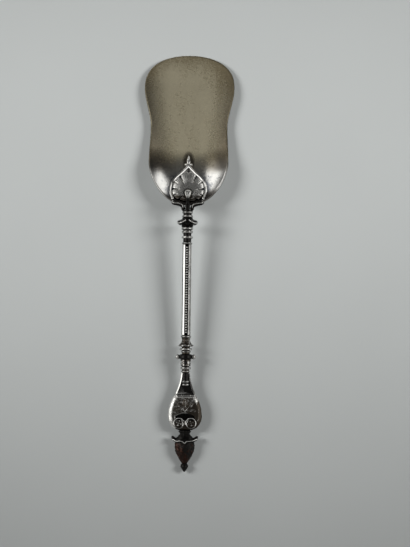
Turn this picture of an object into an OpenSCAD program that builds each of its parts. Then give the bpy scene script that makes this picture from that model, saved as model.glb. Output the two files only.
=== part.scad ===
// Silver sugar spoon of the shovel kind, lying with its hollow up.
// +Y points to the tip of the bowl, +Z up, and the origin is under the middle of the spoon on the table.

/* [Bowl] */
// Length of the bowl from its heel to its tip
bowl_l = 59.4; // [55:0.2:64]
// Greatest width of the bowl, near the tip
lip_w = 33.7; // [31:0.1:37]
// Width of the bowl at its waist
waist_w = 28.6; // [26.8:0.1:30]
// Width of the bowl at the bulge before the heel
heel_w = 29.5; // [27.5:0.1:32]
// Thickness of the silver sheet
sheet_t = 0.9; // [0.7:0.05:1.2]
// Height that the heel climbs above the floor
heel_h = 8; // [7:0.1:9.5]
// Length over which the floor climbs to the heel
heel_run = 23.5; // [21:0.5:27]
// Height of the sides above the floor near the heel
heel_side_h = 4.4; // [3.6:0.1:5.4]
// Height of the sides above the floor near the tip
tip_side_h = 0.8; // [0.6:0.1:1.4]
// Height that the tip curls up
tip_lift_h = 0.5; // [0.3:0.1:1]
// Width of the flat strip along the floor
floor_w = 7; // [5:0.5:10]

/* [Palmette] */
// Width of the ogee frame between its wire centres
frame_w = 13; // [11.8:0.1:14]
// Reach of the frame's point from the heel
frame_l = 16.3; // [15:0.1:18]
// Diameter of the frame wire
frame_wire_d = 0.9; // [0.7:0.05:1.1]
// Room between the shell's sides and the frame wire
shell_side_gap = 0.3; // [0.2:0.05:0.5]
// Room between the shell's top and the frame's point
shell_top_gap = 2.8; // [2.4:0.1:3.4]
// Room between the shell's lower edge and the heel's edge
shell_foot_gap = 1.4; // [1.3:0.1:1.9]
// Height of the shell's crown above the heel
shell_h = 0.95; // [0.8:0.05:1.2]
// Thickness of the shell's edge
shell_edge_t = 0.3; // [0.25:0.05:0.4]
// Length of the drop that runs from the neck into the shell
drop_l = 7.9; // [7:0.1:8.5]
// Width of the drop's round end
drop_w = 2.5; // [2.1:0.1:2.8]
// Height of the drop's round end above the shell
drop_h = 0.9; // [0.7:0.05:1.2]
// Length of the bud on the frame's point
frame_bud_l = 3.8; // [3.2:0.1:4.4]
// Width of the bud on the frame's point
frame_bud_w = 1.5; // [1.2:0.1:1.8]
// Diameter of the two beads beside that bud
frame_bead_d = 0.95; // [0.8:0.05:1.05]
// Distance of each scroll's middle from the spoon's centre line
scroll_x = 4.9; // [4.6:0.1:5.3]
// Radius of the scroll
scroll_r = 0.8; // [0.7:0.05:0.85]
// Diameter of the scroll arms
scroll_arm_d = 1.35; // [1.2:0.05:1.4]

/* [Neck] */
// Length of the neck
neck_l = 4.6; // [4.3:0.1:5.4]
// Diameter of the neck
neck_d = 3.9; // [3.7:0.1:4.3]
// Width of the neck's web between the scroll arms
neck_web_w = 1.7; // [1.5:0.1:1.9]
// Length of the neck's web
neck_web_l = 2.1; // [1.9:0.1:2.3]
// Diameter of the neck under its rings
neck_core_d = 3.1; // [2.8:0.1:3.3]
// Diameter over the neck rings
neck_ring_d = 3.85; // [3.7:0.05:4.2]
// Width of a neck ring
neck_ring_w = 0.7; // [0.6:0.05:0.8]
// Height of the handle's axis above the inner edge of the heel
neck_lift = 0.5; // [0.3:0.1:0.8]

/* [Leaf knop] */
// Length of the leaf knop
knop_l = 3.5; // [3.2:0.1:4]
// Diameter of the knop's core
knop_core_d = 3.2; // [3:0.1:3.4]
// Diameter of the knop's foot
knop_foot_d = 4.3; // [4.1:0.1:4.6]
// Thickness of the knop's foot
knop_foot_t = 0.3; // [0.25:0.05:0.4]
// Span over the tips of the leaves
leaf_span = 7.4; // [6.8:0.1:8]

/* [Lower collar] */
// Length of the collar spindle
collar_l = 5.5; // [5.2:0.1:6.2]
// Diameter of the collar spindle
collar_core_d = 2.95; // [2.8:0.05:3.2]
// Diameter over the ring by the knop
ring_a_d = 4.25; // [4:0.05:4.6]
// Width of the ring by the knop
ring_a_w = 0.85; // [0.7:0.05:0.95]
// Diameter over the thick ring
ring_b_d = 4; // [3.8:0.05:4.5]
// Width of the thick ring
ring_b_w = 0.95; // [0.8:0.05:1]
// Diameter over the ring by the stem
ring_c_d = 4.1; // [3.9:0.05:4.5]
// Width of the ring by the stem
ring_c_w = 0.8; // [0.7:0.05:0.95]
// Length of each cap at the stem's ends
cap_l = 0.9; // [0.7:0.1:1.2]
// Diameter of each cap
cap_d = 3.7; // [3.6:0.05:4.1]

/* [Stem] */
// Length of the reeded stem
stem_l = 32.8; // [28:0.2:36]
// Diameter of a reed
reed_d = 1.1; // [1:0.05:1.15]
// Width over two reeds
stem_w = 3.2; // [3.1:0.05:3.4]
// Pitch of the beads on the strips
bead_pitch = 0.9; // [0.8:0.05:1.1]
// Plain length of a strip before its first bead
strip_plain_l = 1.6; // [1.2:0.1:2.2]
// Thickness of a strip under its beads
strip_t = 0.3; // [0.25:0.05:0.35]
// Diameter of the tenons that join the pieces of the handle
tenon_d = 1.5; // [1.3:0.05:1.6]
// Length of a tenon in its socket
tenon_l = 1.3; // [1.1:0.1:1.5]

/* [Bell knop and collar] */
// Length of the bell
bell_l = 3; // [2.7:0.1:3.5]
// Diameter of the bell's waist
bell_waist_d = 2.9; // [2.8:0.05:3.1]
// Diameter of the bell's rim
bell_rim_d = 5.4; // [5:0.1:5.9]
// Thickness of the bell's rim
bell_rim_t = 0.35; // [0.3:0.05:0.5]
// Length of the neck under the bell
bell_neck_l = 2.8; // [2.5:0.1:3.2]
// Diameter over the ring on that neck
bell_ring_d = 4.5; // [4.2:0.1:4.9]
// Width of that ring
bell_ring_w = 0.8; // [0.7:0.05:0.9]
// Diameter over the small ring below it
bell_bead_d = 3.6; // [3.4:0.05:3.8]
// Width of that small ring
bell_bead_w = 0.5; // [0.4:0.05:0.6]
// Length of the lug collar
lug_collar_l = 2; // [1.8:0.1:2.3]
// Diameter of the lug collar
lug_collar_d = 4.7; // [4.4:0.1:5.1]
// Diameter of a peg on the lug collar
peg_d = 1.7; // [1.5:0.05:1.75]
// Span over the beads on the pegs
lug_span = 7.4; // [7:0.1:8]
// Diameter of a bead on a peg
lug_bead_d = 1.8; // [1.7:0.05:1.9]

/* [Drum and column] */
// Length of the drum
drum_l = 2.3; // [2.1:0.1:2.7]
// Diameter of the drum
drum_d = 3.6; // [3.4:0.05:3.9]
// Width of the small bud on the drum
drum_bud_w = 1.3; // [1.1:0.1:1.5]
// Height of the small bud on the drum
drum_bud_h = 0.35; // [0.25:0.05:0.45]
// Length of the drum's ringed tail
drum_tail_l = 2.4; // [2.2:0.1:2.8]
// Diameter of the drum's tail
drum_tail_d = 2.6; // [2.5:0.05:2.8]
// Diameter over the wide ring on the tail
drum_ring_d = 3.75; // [3.6:0.05:4]
// Width of the wide ring
drum_ring_w = 0.9; // [0.8:0.05:1]
// Diameter over the thin ring on the tail
thin_ring_d = 3.4; // [3.3:0.05:3.6]
// Width of the thin ring
thin_ring_w = 0.45; // [0.4:0.05:0.5]
// Length of the column
column_l = 4.8; // [4.4:0.1:5.4]
// Diameter of the column
column_d = 2.7; // [2.5:0.05:2.8]
// Diameter of the column's two base rings
column_ring_d = 3.1; // [3:0.05:3.15]
// Width of a base ring
column_ring_w = 0.6; // [0.5:0.05:0.7]

/* [Terminal] */
// Length of the spatulate plate
plate_l = 7.5; // [6.8:0.1:8.4]
// Width of the plate where it starts
plate_root_w = 3.2; // [3.1:0.1:3.5]
// Width of the plate at the crease
plate_end_w = 7; // [6.6:0.1:7.6]
// Thickness of the plate
plate_t = 1.6; // [1.4:0.1:1.9]
// Width of the plate's raised edges
plate_edge_w = 0.32; // [0.28:0.02:0.4]
// Depth of the face between the raised edges
plate_sink = 0.35; // [0.25:0.05:0.5]
// Length of the medallion
medallion_l = 12.9; // [12:0.1:14]
// Width of the medallion
medallion_w = 12; // [11.4:0.1:13]
// Thickness of the medallion at its edge
medallion_edge_t = 0.9; // [0.8:0.05:1.1]
// Height of the medallion's bevelled rim above its edge
medallion_rim_h = 0.8; // [0.6:0.05:1]
// Height of the medallion's back above its edge
medallion_back_h = 0.6; // [0.5:0.05:0.9]
// Depth of the hollow over the volutes
hollow_d = 0.55; // [0.45:0.05:0.65]
// Height of the foliage on the medallion
relief_t = 0.35; // [0.25:0.05:0.45]
// Diameter of a volute
volute_d = 4; // [3.6:0.1:4.1]
// Diameter of the volute wire
volute_wire_d = 0.45; // [0.35:0.05:0.5]
// Distance between the middles of the volutes
volute_gap = 4.3; // [4.2:0.1:4.6]

/* [Finial] */
// Length of the leafy neck under the medallion
leaf_neck_l = 2.2; // [2:0.1:2.6]
// Width of the leafy neck at its ends
leaf_neck_w = 4.8; // [4.4:0.1:5.2]
// Depth of the leafy neck, front to back
leaf_neck_d = 2.4; // [2.2:0.1:2.8]
// Length of the crown collar
crown_l = 2; // [1.8:0.1:2.4]
// Width of the crown collar without its lugs
crown_w = 7.4; // [7:0.1:7.8]
// Depth of the crown collar, front to back
crown_d = 3.6; // [3.2:0.1:3.9]
// Span over the crown's lugs
crown_span = 9.2; // [8.8:0.1:9.8]
// Diameter of a crown lug
crown_lug_d = 1.2; // [1.05:0.05:1.3]
// Length of the bud
bud_l = 7.6; // [7:0.1:8.6]
// Width of the bud
bud_w = 7.1; // [6.6:0.1:7.3]
// Depth of the bud in front of the axis
bud_front_d = 2; // [1.8:0.1:2.3]
// Depth of the bud behind the axis
bud_back_d = 2.3; // [2.1:0.1:2.6]
// Length of the drop at the tip
tip_l = 3.1; // [2.8:0.1:3.6]
// Width of the drop at the tip
tip_w = 2.8; // [2.5:0.1:3.1]
// Diameter of the pin that joins the drop to the bud
tip_pin_d = 0.8; // [0.6:0.05:0.9]
// Length of that pin in the bud
tip_pin_l = 1; // [0.8:0.1:1.2]

/* [Fits] */
// Clearance between a tenon and its socket
solder_gap = 0.05; // [0.03:0.01:0.08]
// Clearance between the bowl and what is applied to it
applied_gap = 0.1; // [0.08:0.01:0.12]
// Depth of the worn flat where the bud rests on the table
foot_cut = 0.06; // [0.04:0.01:0.1]

/* [Hidden] */
$fn = 64;

// Counts of points and rings in the modelled surfaces
bowl_sides = 72;
bowl_rings = 10;
shell_sides = 100;
shell_rings = 7;
medallion_rings = 6;
wire_sides = 8;
loft_sides = 20;

// Places along the bowl, as shares of its length
heel_bulge_share = 0.29;
waist_share = 0.52;
lip_share = 0.78;
tip_lift_share = 0.8;
heel_bulge_y = heel_bulge_share * bowl_l;
waist_y = waist_share * bowl_l;
lip_y = lip_share * bowl_l;
tip_lift_y = tip_lift_share * bowl_l;

// Powers that set how full the bowl's outline and section are
heel_round = 1.75;
tip_round = 2.4;
tip_square = 2.2;
side_round = 2.2;
heel_climb = 2;

// Stations along the handle, from the neck's root to the tip
knop_s = neck_l;
collar_s = knop_s + knop_l;
lower_cap_s = collar_s + collar_l;
stem_s = lower_cap_s + cap_l;
upper_cap_s = stem_s + stem_l;
bell_s = upper_cap_s + cap_l;
bell_neck_s = bell_s + bell_l;
lug_s = bell_neck_s + bell_neck_l;
drum_s = lug_s + lug_collar_l;
drum_tail_s = drum_s + drum_l;
column_s = drum_tail_s + drum_tail_l;
plate_s = column_s;
medallion_s = plate_s + plate_l;
leaf_neck_s = medallion_s + medallion_l;
crown_s = leaf_neck_s + leaf_neck_l;
bud_s = crown_s + crown_l;
tip_s = bud_s + bud_l;
handle_l = tip_s + tip_l;

// The handle falls from the heel until the back of the bud rests on the table
bud_full_share = 0.22;
foot_reach = handle_l - bud_s - bud_full_share * bud_l;
neck_axis_h = sheet_t + heel_h + neck_lift;
tip_axis_h = (bud_back_d - foot_cut - foot_reach / handle_l * neck_axis_h) / (1 - foot_reach / handle_l);
handle_drop = asin((neck_axis_h - tip_axis_h) / handle_l);
root_y = (handle_l * cos(handle_drop) - bowl_l - solder_gap) / 2;
heel_y = root_y + solder_gap;

tenon_r = tenon_d / 2;
socket_r = tenon_r + solder_gap;
socket_l = tenon_l + solder_gap;

function mix(a, b, t) = a + (b - a) * t;
function smooth(t) = let (u = min(1, max(0, t))) u * u * (3 - 2 * u);
function unit(v) = v / norm(v);

// Point on a smooth curve through the points p, at t points along it
function spline(p, t) =
    let (last = len(p) - 1, i = min(last - 1, floor(t)), u = t - i)
    let (a = p[max(0, i - 1)], b = p[i], c = p[i + 1], d = p[min(last, i + 2)])
    (2 * b + (c - a) * u
        + (2 * a - 5 * b + 4 * c - d) * u * u
        + (3 * b - a - 3 * c + d) * u * u * u) / 2;

// Closed surface over rings of points, from one end point to the other
module skin(rings, start, end) {
    n = len(rings[0]);
    m = len(rings);
    points = concat([start], [for (r = rings) each r], [end]);
    last = len(points) - 1;
    function at(i, j) = 1 + i * n + j % n;
    faces = concat(
        [for (j = [0:n - 1]) [0, at(0, j + 1), at(0, j)]],
        [for (i = [0:m - 2]) for (j = [0:n - 1])
            each [[at(i, j), at(i, j + 1), at(i + 1, j + 1)], [at(i, j), at(i + 1, j + 1), at(i + 1, j)]]],
        [for (j = [0:n - 1]) [last, at(m - 1, j), at(m - 1, j + 1)]]
    );
    polyhedron(points, faces);
}

// Wire along a path of points, with a radius at each point
module wire(path, radii) {
    last = len(path) - 1;
    function along(i) = unit(path[min(last, i + 1)] - path[max(0, i - 1)]);
    rings = [for (i = [0:last])
        let (t = along(i), side = unit(cross(t, [0, 0, 1])), up = cross(side, t))
        [for (j = [0:wire_sides - 1])
            let (a = 360 * j / wire_sides)
            path[i] + radii[i] * (cos(a) * side + sin(a) * up)]];
    skin(rings, path[0] - along(0) * radii[0] / 2, path[last] + along(last) * radii[last] / 2);
}

// Solid along the handle from sections of half width, front depth and back depth at stations
module loft(sections) {
    rings = [for (s = sections)
        [for (j = [0:loft_sides - 1])
            let (a = -360 * j / loft_sides)
            [s[1] * cos(a), (sin(a) > 0 ? s[2] : s[3]) * sin(a), s[0]]]];
    last = len(sections) - 1;
    skin(rings, [0, 0, sections[0][0]], [0, 0, sections[last][0]]);
}

module turned(profile) rotate_extrude() polygon(profile);

// Wire ring with a flat inner side and an oval outer side
ring_shoulder_share = 0.35;
ring_points = 8;

module wire_ring(s, inner_d, outer_d, w) {
    inner_r = inner_d / 2 + solder_gap;
    shoulder_r = mix(inner_r, outer_d / 2, ring_shoulder_share);
    bow = [for (i = [0:ring_points])
        let (a = 180 * i / ring_points)
        [shoulder_r + (outer_d / 2 - shoulder_r) * sin(a), s - w / 2 * cos(a)]];
    turned(concat([[inner_r, s - w / 2]], bow, [[inner_r, s + w / 2]]));
}

module tenon(s, l) translate([0, 0, s]) cylinder(r = tenon_r, h = l);

module socket(s, l) translate([0, 0, s]) cylinder(r = socket_r, h = l);

// The handle's own frame: its Z runs from the neck to the tip and its Y to the front
module on_handle() translate([0, root_y, neck_axis_h]) rotate([90 + handle_drop, 0, 0]) children();

module on_bowl() translate([0, heel_y, 0]) children();

// Plate of a given outline in the handle's flat plane, from one depth to another
module upright(y_low, y_high)
    translate([0, y_high, 0])
        rotate([90, 0, 0])
            linear_extrude(y_high - y_low)
                children();

function bowl_half_w(y) =
    y < heel_bulge_y ? heel_w / 2 * sqrt(max(0, 1 - pow(1 - y / heel_bulge_y, heel_round)))
    : y < waist_y ? mix(heel_w, waist_w, smooth((y - heel_bulge_y) / (waist_y - heel_bulge_y))) / 2
    : y < lip_y ? mix(waist_w, lip_w, smooth((y - waist_y) / (lip_y - waist_y))) / 2
    : lip_w / 2 * pow(max(0, 1 - pow((y - lip_y) / (bowl_l - lip_y), tip_round)), 1 / tip_square);

function bowl_in_z(x, y) =
    sheet_t
    + heel_h * pow(max(0, 1 - y / heel_run), heel_climb)
    + tip_lift_h * pow(max(0, (y - tip_lift_y) / (bowl_l - tip_lift_y)), 2)
    + mix(heel_side_h, tip_side_h, smooth(y / bowl_l))
        * pow(max(0, (2 * abs(x) - floor_w) / (heel_w - floor_w)), side_round);

function bowl_slope(x, y) =
    let (e = sheet_t / 10)
    [(bowl_in_z(x + e, y) - bowl_in_z(x - e, y)) / (2 * e),
        (bowl_in_z(x, y + e) - bowl_in_z(x, y - e)) / (2 * e)];

// The sheet keeps its thickness square to its surface, and its underside is flat where it meets the table
function bowl_out_z(x, y) =
    max(0, bowl_in_z(x, y) - sheet_t * sqrt(1 + pow(norm(bowl_slope(x, y)), 2)));

module bowl() {
    middle = [0, bowl_l / 2];
    edge = [for (j = [0:bowl_sides - 1])
        let (a = 360 * j / bowl_sides, y = bowl_l / 2 * (1 - cos(a)))
        [sign(sin(a)) * bowl_half_w(y), y]];
    function inset(p, d) = p - unit(p - middle) * d;
    function loop(i) = [for (p = edge) mix(middle, inset(p, sheet_t / 3), i / bowl_rings)];
    top = [for (i = [1:bowl_rings]) [for (p = loop(i)) [p[0], p[1], bowl_in_z(p[0], p[1])]]];
    under = [for (i = [bowl_rings:-1:1]) [for (p = loop(i)) [p[0], p[1], bowl_out_z(p[0], p[1])]]];
    rim = [[for (p = edge) [p[0], p[1], (bowl_in_z(p[0], p[1]) + bowl_out_z(p[0], p[1])) / 2]]];
    color("darkkhaki")
        on_bowl()
            skin(concat(top, rim, under), [0, middle[1], bowl_in_z(0, middle[1])], [0, middle[1], 0]);
}

// The shell is a five-lobed fan: its lobes span a fixed angle each and stand on the heel
shell_w = frame_w - frame_wire_d - 2 * shell_side_gap;
shell_mid_share = 0.38;
shell_mid_l = shell_mid_share * frame_l;
shell_top_l = frame_l - shell_mid_l - shell_top_gap;
shell_root_l = shell_mid_l - shell_foot_gap;
shell_lobe_angle = 54;
shell_lobes = 5;
shell_notch_share = 0.14;
shell_flute_share = 0.3;
shell_top_angle = 90;

function shell_reach(a) =
    let (v = sin(a) > 0 ? shell_top_l : shell_root_l)
    1 / norm([cos(a) * 2 / shell_w, sin(a) / v]);

// 1 along the middle of a lobe and 0 in the notch between two lobes
function shell_lobe(a) =
    let (from_top = abs(a - shell_top_angle), fan = shell_lobe_angle * shell_lobes / 2)
    from_top > fan ? mix(0, 1, smooth((from_top - fan) / (shell_lobe_angle / 2)))
    : sqrt(abs(cos(180 * from_top / shell_lobe_angle)));

function shell_thick(f, a) =
    let (crown = sqrt(max(0, 1 - f * f)))
    let (flute = shell_flute_share * (1 - shell_lobe(a)) * smooth(2 * f - 0.5))
    shell_edge_t + (shell_h - shell_edge_t) * crown * (1 - flute);

function shell_angle(x, y) =
    let (a = atan2(y - shell_mid_l, x))
    a < shell_top_angle - 180 ? a + 360 : a;

function shell_top_z(x, y) =
    let (a = shell_angle(x, y), f = min(1, norm([x, y - shell_mid_l]) / shell_reach(a)))
    bowl_in_z(x, y) + applied_gap + shell_thick(f, a);

module palmette_shell() {
    turns = [for (j = [0:shell_sides - 1]) shell_top_angle - 180 + 360 * j / shell_sides];
    function place(f, a) =
        let (r = f * shell_reach(a) * (1 - shell_notch_share * (1 - shell_lobe(a)) * pow(f, 2)))
        [r * cos(a), shell_mid_l + r * sin(a)];
    function lifted(f, a, lift) = let (p = place(f, a)) [p[0], p[1], bowl_in_z(p[0], p[1]) + lift];
    top = [for (i = [1:shell_rings])
        let (f = sin(90 * i / shell_rings))
        [for (a = turns) lifted(f, a, applied_gap + shell_thick(f, a))]];
    under = [for (f = [1, 0.5]) [for (a = turns) lifted(f, a, applied_gap)]];
    color("silver")
        on_bowl()
            skin(
                concat(top, under),
                lifted(0, 0, applied_gap + shell_thick(0, 0)),
                lifted(0, 0, applied_gap)
            );
}

// Half of the ogee frame from its foot to its point, as shares of its half width and of its reach
frame_shares = [[0.86, 0.165], [0.99, 0.32], [1, 0.455], [0.905, 0.59], [0.69, 0.71], [0.4, 0.825],
    [0.17, 0.925], [0, 1]];
frame_steps = 4;

// Point over the heel at a distance square to its surface
function on_heel(p, lift) =
    let (x = p[0], y = p[1])
    [x, y, bowl_in_z(x, y) + lift * norm([1, norm(bowl_slope(x, y))])];

module palmette_frame() {
    right = [for (p = frame_shares) [p[0] * frame_w / 2, p[1] * frame_l]];
    count = (len(right) - 1) * frame_steps;
    half = [for (i = [0:count]) spline(right, i / frame_steps)];
    other = [for (i = [count - 1:-1:0]) [-half[i][0], half[i][1]]];
    path = [for (p = concat(half, other)) on_heel(p, applied_gap + frame_wire_d / 2)];
    color("silver")
        on_bowl()
            wire(path, [for (p = path) frame_wire_d / 2]);
}

// Solid that stands on the heel, from stations of reach, half width and height over a base
module applied_loft(stations, base) {
    half = loft_sides / 2;
    function rib(s) = concat(
        [for (j = [0:half]) let (a = 180 * j / half) [s[1] * cos(a), s[0], s[2] * sin(a)]],
        [for (j = [1:half - 1]) [s[1] * (2 * j / half - 1), s[0], 0]]);
    rings = [for (s = stations)
        [for (p = rib(s))
            let (floor_z = base == "shell" ? shell_top_z(p[0], p[1]) : bowl_in_z(p[0], p[1]))
            [p[0], p[1], p[2] + floor_z + applied_gap]]];
    last = len(stations) - 1;
    function middle(i) = let (p = rings[i]) (p[half / 2] + p[len(p) - half / 2]) / 2;
    skin(rings, middle(0), middle(last));
}

// The bud on the frame's point: shares of its reach, width and height
frame_bud_shares = [[0, 0.6, 0.6], [0.15, 0.85, 0.9], [0.4, 1, 1], [0.7, 0.7, 0.8], [0.9, 0.35, 0.45],
    [1, 0.12, 0.2]];

module frame_bud() {
    start = frame_l + frame_wire_d / 2 + applied_gap;
    bead_r = frame_bead_d / 2;
    bead_x = frame_bud_w * frame_bud_shares[0][1] / 2 + bead_r + applied_gap;
    color("silver")
        on_bowl() {
            applied_loft([for (p = frame_bud_shares)
                [start + p[0] * frame_bud_l, p[1] * frame_bud_w / 2, p[2] * frame_bud_w / 2]], "bowl");
            for (side = [-1, 1])
                translate(on_heel([side * bead_x, start], applied_gap + bead_r))
                    sphere(r = bead_r);
        }
}

// The drop: shares of its reach from the neck, of its width and of its height
drop_shares = [[0, 0.68, 1], [0.2, 0.68, 1], [0.45, 0.78, 1], [0.7, 0.95, 1], [0.85, 1, 0.95],
    [0.94, 0.75, 0.75], [1, 0.3, 0.35]];

module calyx_drop() {
    root_h = neck_axis_h + neck_d / 2 - shell_top_z(0, 0) - 2 * applied_gap;
    function height(t) = mix(root_h, drop_h, smooth(t / 0.7));
    color("silver")
        on_bowl()
            applied_loft(
                [for (p = drop_shares) [p[0] * drop_l, p[1] * drop_w / 2, p[2] * height(p[0])]],
                "shell"
            );
}

// Each arm runs from the neck's flank out over the rim and curls towards the bowl
scroll_steps = 22;
scroll_start_angle = 265;
scroll_curl_angle = 290;
scroll_taper_share = 0.55;

// The arm's course from the neck's collar to the scroll: shares of its run out and of its run along
scroll_lead_shares = [[0, 0], [0.02, 0.3], [0.12, 0.56], [0.33, 0.77], [0.64, 0.91], [1, 1]];
scroll_lead_steps = 3;

module scroll_arm(side) {
    r0 = scroll_arm_d / 2;
    thin_r = r0 * (1 - scroll_taper_share);
    middle = [scroll_x, scroll_r + thin_r];
    start = [neck_web_w / 2 + solder_gap + r0, -neck_web_l + r0 / 2 + solder_gap];
    meet = middle + scroll_r * [cos(scroll_start_angle), sin(scroll_start_angle)];
    course = [for (p = scroll_lead_shares)
        [mix(start[0], meet[0], p[0]), mix(start[1], meet[1], p[1])]];
    lead = [for (i = [0:(len(course) - 1) * scroll_lead_steps - 1]) spline(course, i / scroll_lead_steps)];
    curl = [for (i = [0:scroll_steps])
        let (t = i / scroll_steps, a = scroll_start_angle + scroll_curl_angle * t)
        middle + scroll_r * (1 - scroll_taper_share * t) * [cos(a), sin(a)]];
    flat = concat(lead, curl);
    last = len(flat) - 1;
    path = [for (p = flat) on_heel([p[0], max(p[1], 0)], applied_gap + r0) + [0, min(p[1], 0), 0]];
    color("silver")
        on_bowl()
            mirror([side < 0 ? 1 : 0, 0, 0])
                wire(path, [for (i = [0:last]) mix(r0, thin_r, smooth(2 * i / last - 1 / 2))]);
}

module scroll_arm_left() scroll_arm(-1);

module scroll_arm_right() scroll_arm(1);

// Places of the step under the rings and of the two rings, as shares of the neck's length
neck_step_share = 0.49;
neck_ring_shares = [0.61, 0.92];

module neck_socket() {
    collar_d = neck_d + neck_ring_d;
    color("dimgray")
        difference() {
            on_handle()
                difference() {
                    turned([
                        [0, -neck_d],
                        [neck_d / 2, -neck_d],
                        [neck_d / 2, neck_step_share * neck_l],
                        [neck_core_d / 2, neck_step_share * neck_l + neck_ring_w / 4],
                        [neck_core_d / 2, neck_l],
                        [0, neck_l]
                    ]);
                    socket(neck_l - socket_l, 2 * socket_l);
                }
            translate([-collar_d, root_y, neck_axis_h - collar_d])
                cube(2 * collar_d);
            for (side = [-1, 1])
                translate([side * (neck_web_w / 2 + collar_d), collar_d - neck_web_l, 0])
                    translate([0, root_y, neck_axis_h])
                        cube(2 * collar_d, center = true);
        }
}

module neck_rings() {
    color("silver")
        on_handle()
            for (share = neck_ring_shares)
                wire_ring(share * neck_l, neck_core_d, neck_ring_d, neck_ring_w);
}

knop_neck_share = 0.15;

module leaf_knop() {
    color("dimgray")
        on_handle() {
            difference() {
                turned([
                    [0, knop_s],
                    [neck_core_d / 2, knop_s],
                    [knop_core_d / 2, knop_s + knop_neck_share * knop_l],
                    [knop_core_d / 2, collar_s - knop_foot_t],
                    [knop_foot_d / 2, collar_s - knop_foot_t],
                    [knop_foot_d / 2, collar_s],
                    [0, collar_s]
                ]);
                socket(collar_s - socket_l, 2 * socket_l);
            }
            tenon(knop_s - tenon_l, tenon_l + solder_gap);
        }
}

// Section of a knop leaf: shares of its reach from the core and of its drop from the knop's top
leaf_section_shares = [[0, 0.03], [0.1, 0.04], [0.2, 0.2], [0.44, 0.3], [0.74, 0.36], [0.93, 0.44], [1, 0.56],
    [0.95, 0.7], [0.8, 0.8], [0.6, 0.8], [0.42, 0.84], [0.28, 0.92], [0.2, 1], [0, 1]];
leaf_headings = [0, 180];
leaf_half_angle = 76;
leaf_slices = 14;

// Shares of the reach and of the drop that are left at a leaf's two ends
leaf_end_reach_share = 0.16;
leaf_end_drop_share = 0.42;

module knop_leaf(heading) {
    inner_r = knop_core_d / 2 + solder_gap;
    reach = leaf_span / 2 - inner_r;
    drop = knop_l - knop_foot_t - 2 * solder_gap;
    rings = [for (i = [0:leaf_slices])
        let (v = 2 * i / leaf_slices - 1, a = heading + v * leaf_half_angle)
        let (out = mix(leaf_end_reach_share, 1, sqrt(1 - v * v)), down = mix(1, leaf_end_drop_share, v * v))
        [for (p = leaf_section_shares)
            let (r = inner_r + p[0] * out * reach)
            [r * cos(a), r * sin(a), knop_s + solder_gap + p[1] * down * drop]]];
    function middle(ring) = [for (p = ring) 1] * ring / len(ring);
    skin(rings, middle(rings[0]), middle(rings[leaf_slices]));
}

module knop_leaves() {
    color("silver")
        on_handle()
            for (heading = leaf_headings)
                knop_leaf(heading);
}

module collar_spindle() {
    color("dimgray")
        on_handle() {
            difference() {
                translate([0, 0, collar_s])
                    cylinder(d = collar_core_d, h = collar_l);
                socket(lower_cap_s - socket_l, 2 * socket_l);
            }
            tenon(collar_s - tenon_l, tenon_l + solder_gap);
        }
}

// Places of the three rings on the spindle, as shares of its length
ring_a_share = 0.11;
ring_b_share = 0.33;
ring_c_share = 0.69;

module collar_rings() {
    color("silver")
        on_handle() {
            wire_ring(collar_s + ring_a_share * collar_l, collar_core_d, ring_a_d, ring_a_w);
            wire_ring(collar_s + ring_b_share * collar_l, collar_core_d, ring_b_d, ring_b_w);
            wire_ring(collar_s + ring_c_share * collar_l, collar_core_d, ring_c_d, ring_c_w);
        }
}

cap_bevel_share = 0.3;

// Flange at an end of the stem, with the stem's tenon passing through it
module cap(s) {
    bevel = cap_bevel_share * cap_l;
    color("silver")
        on_handle()
            difference() {
                turned([
                    [0, s],
                    [cap_d / 2 - bevel, s],
                    [cap_d / 2, s + bevel],
                    [cap_d / 2, s + cap_l - bevel],
                    [cap_d / 2 - bevel, s + cap_l],
                    [0, s + cap_l]
                ]);
                socket(s - socket_l, cap_l + 2 * socket_l);
            }
}

module lower_cap() cap(lower_cap_s);

module upper_cap() cap(upper_cap_s);

reed_x = (stem_w - reed_d) / 2;
strip_w = 2 * reed_x - reed_d - 2 * solder_gap;
stem_core_share = 0.9;
stem_core_w = 2 * reed_x * stem_core_share;

module stem_bar() {
    color("silver")
        on_handle() {
            translate([-stem_core_w / 2, -stem_core_w / 2, stem_s])
                cube([stem_core_w, stem_core_w, stem_l]);
            for (x = [-reed_x, reed_x], y = [-reed_x, reed_x])
                translate([x, y, stem_s])
                    cylinder(d = reed_d, h = stem_l);
            tenon(lower_cap_s - tenon_l, tenon_l + cap_l + solder_gap);
            tenon(upper_cap_s - solder_gap, tenon_l + cap_l + solder_gap);
        }
}

bead_count = floor((stem_l - 2 * strip_plain_l) / bead_pitch);

module bead_strip() {
    base_y = stem_core_w / 2 + solder_gap;
    bead_r = bead_pitch / 2 - solder_gap;
    first = stem_s + (stem_l - (bead_count - 1) * bead_pitch) / 2;
    translate([-strip_w / 2, base_y, stem_s])
        cube([strip_w, strip_t, stem_l]);
    intersection() {
        for (i = [0:bead_count - 1])
            translate([-strip_w / 2, base_y + strip_t, first + i * bead_pitch])
                rotate([0, 90, 0])
                    cylinder(r = bead_r, h = strip_w);
        translate([-strip_w, base_y, stem_s])
            cube([2 * strip_w, stem_w, stem_l]);
    }
}

module bead_strip_front() color("silver") on_handle() bead_strip();

module bead_strip_back() color("silver") on_handle() mirror([0, 1, 0]) bead_strip();

// The bell's flare, as shares of its length and of its growth from waist to rim
bell_shares = [[0, 0.12], [0.12, 0], [0.3, 0.02], [0.48, 0.14], [0.64, 0.38], [0.78, 0.7], [0.88, 1]];

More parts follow.
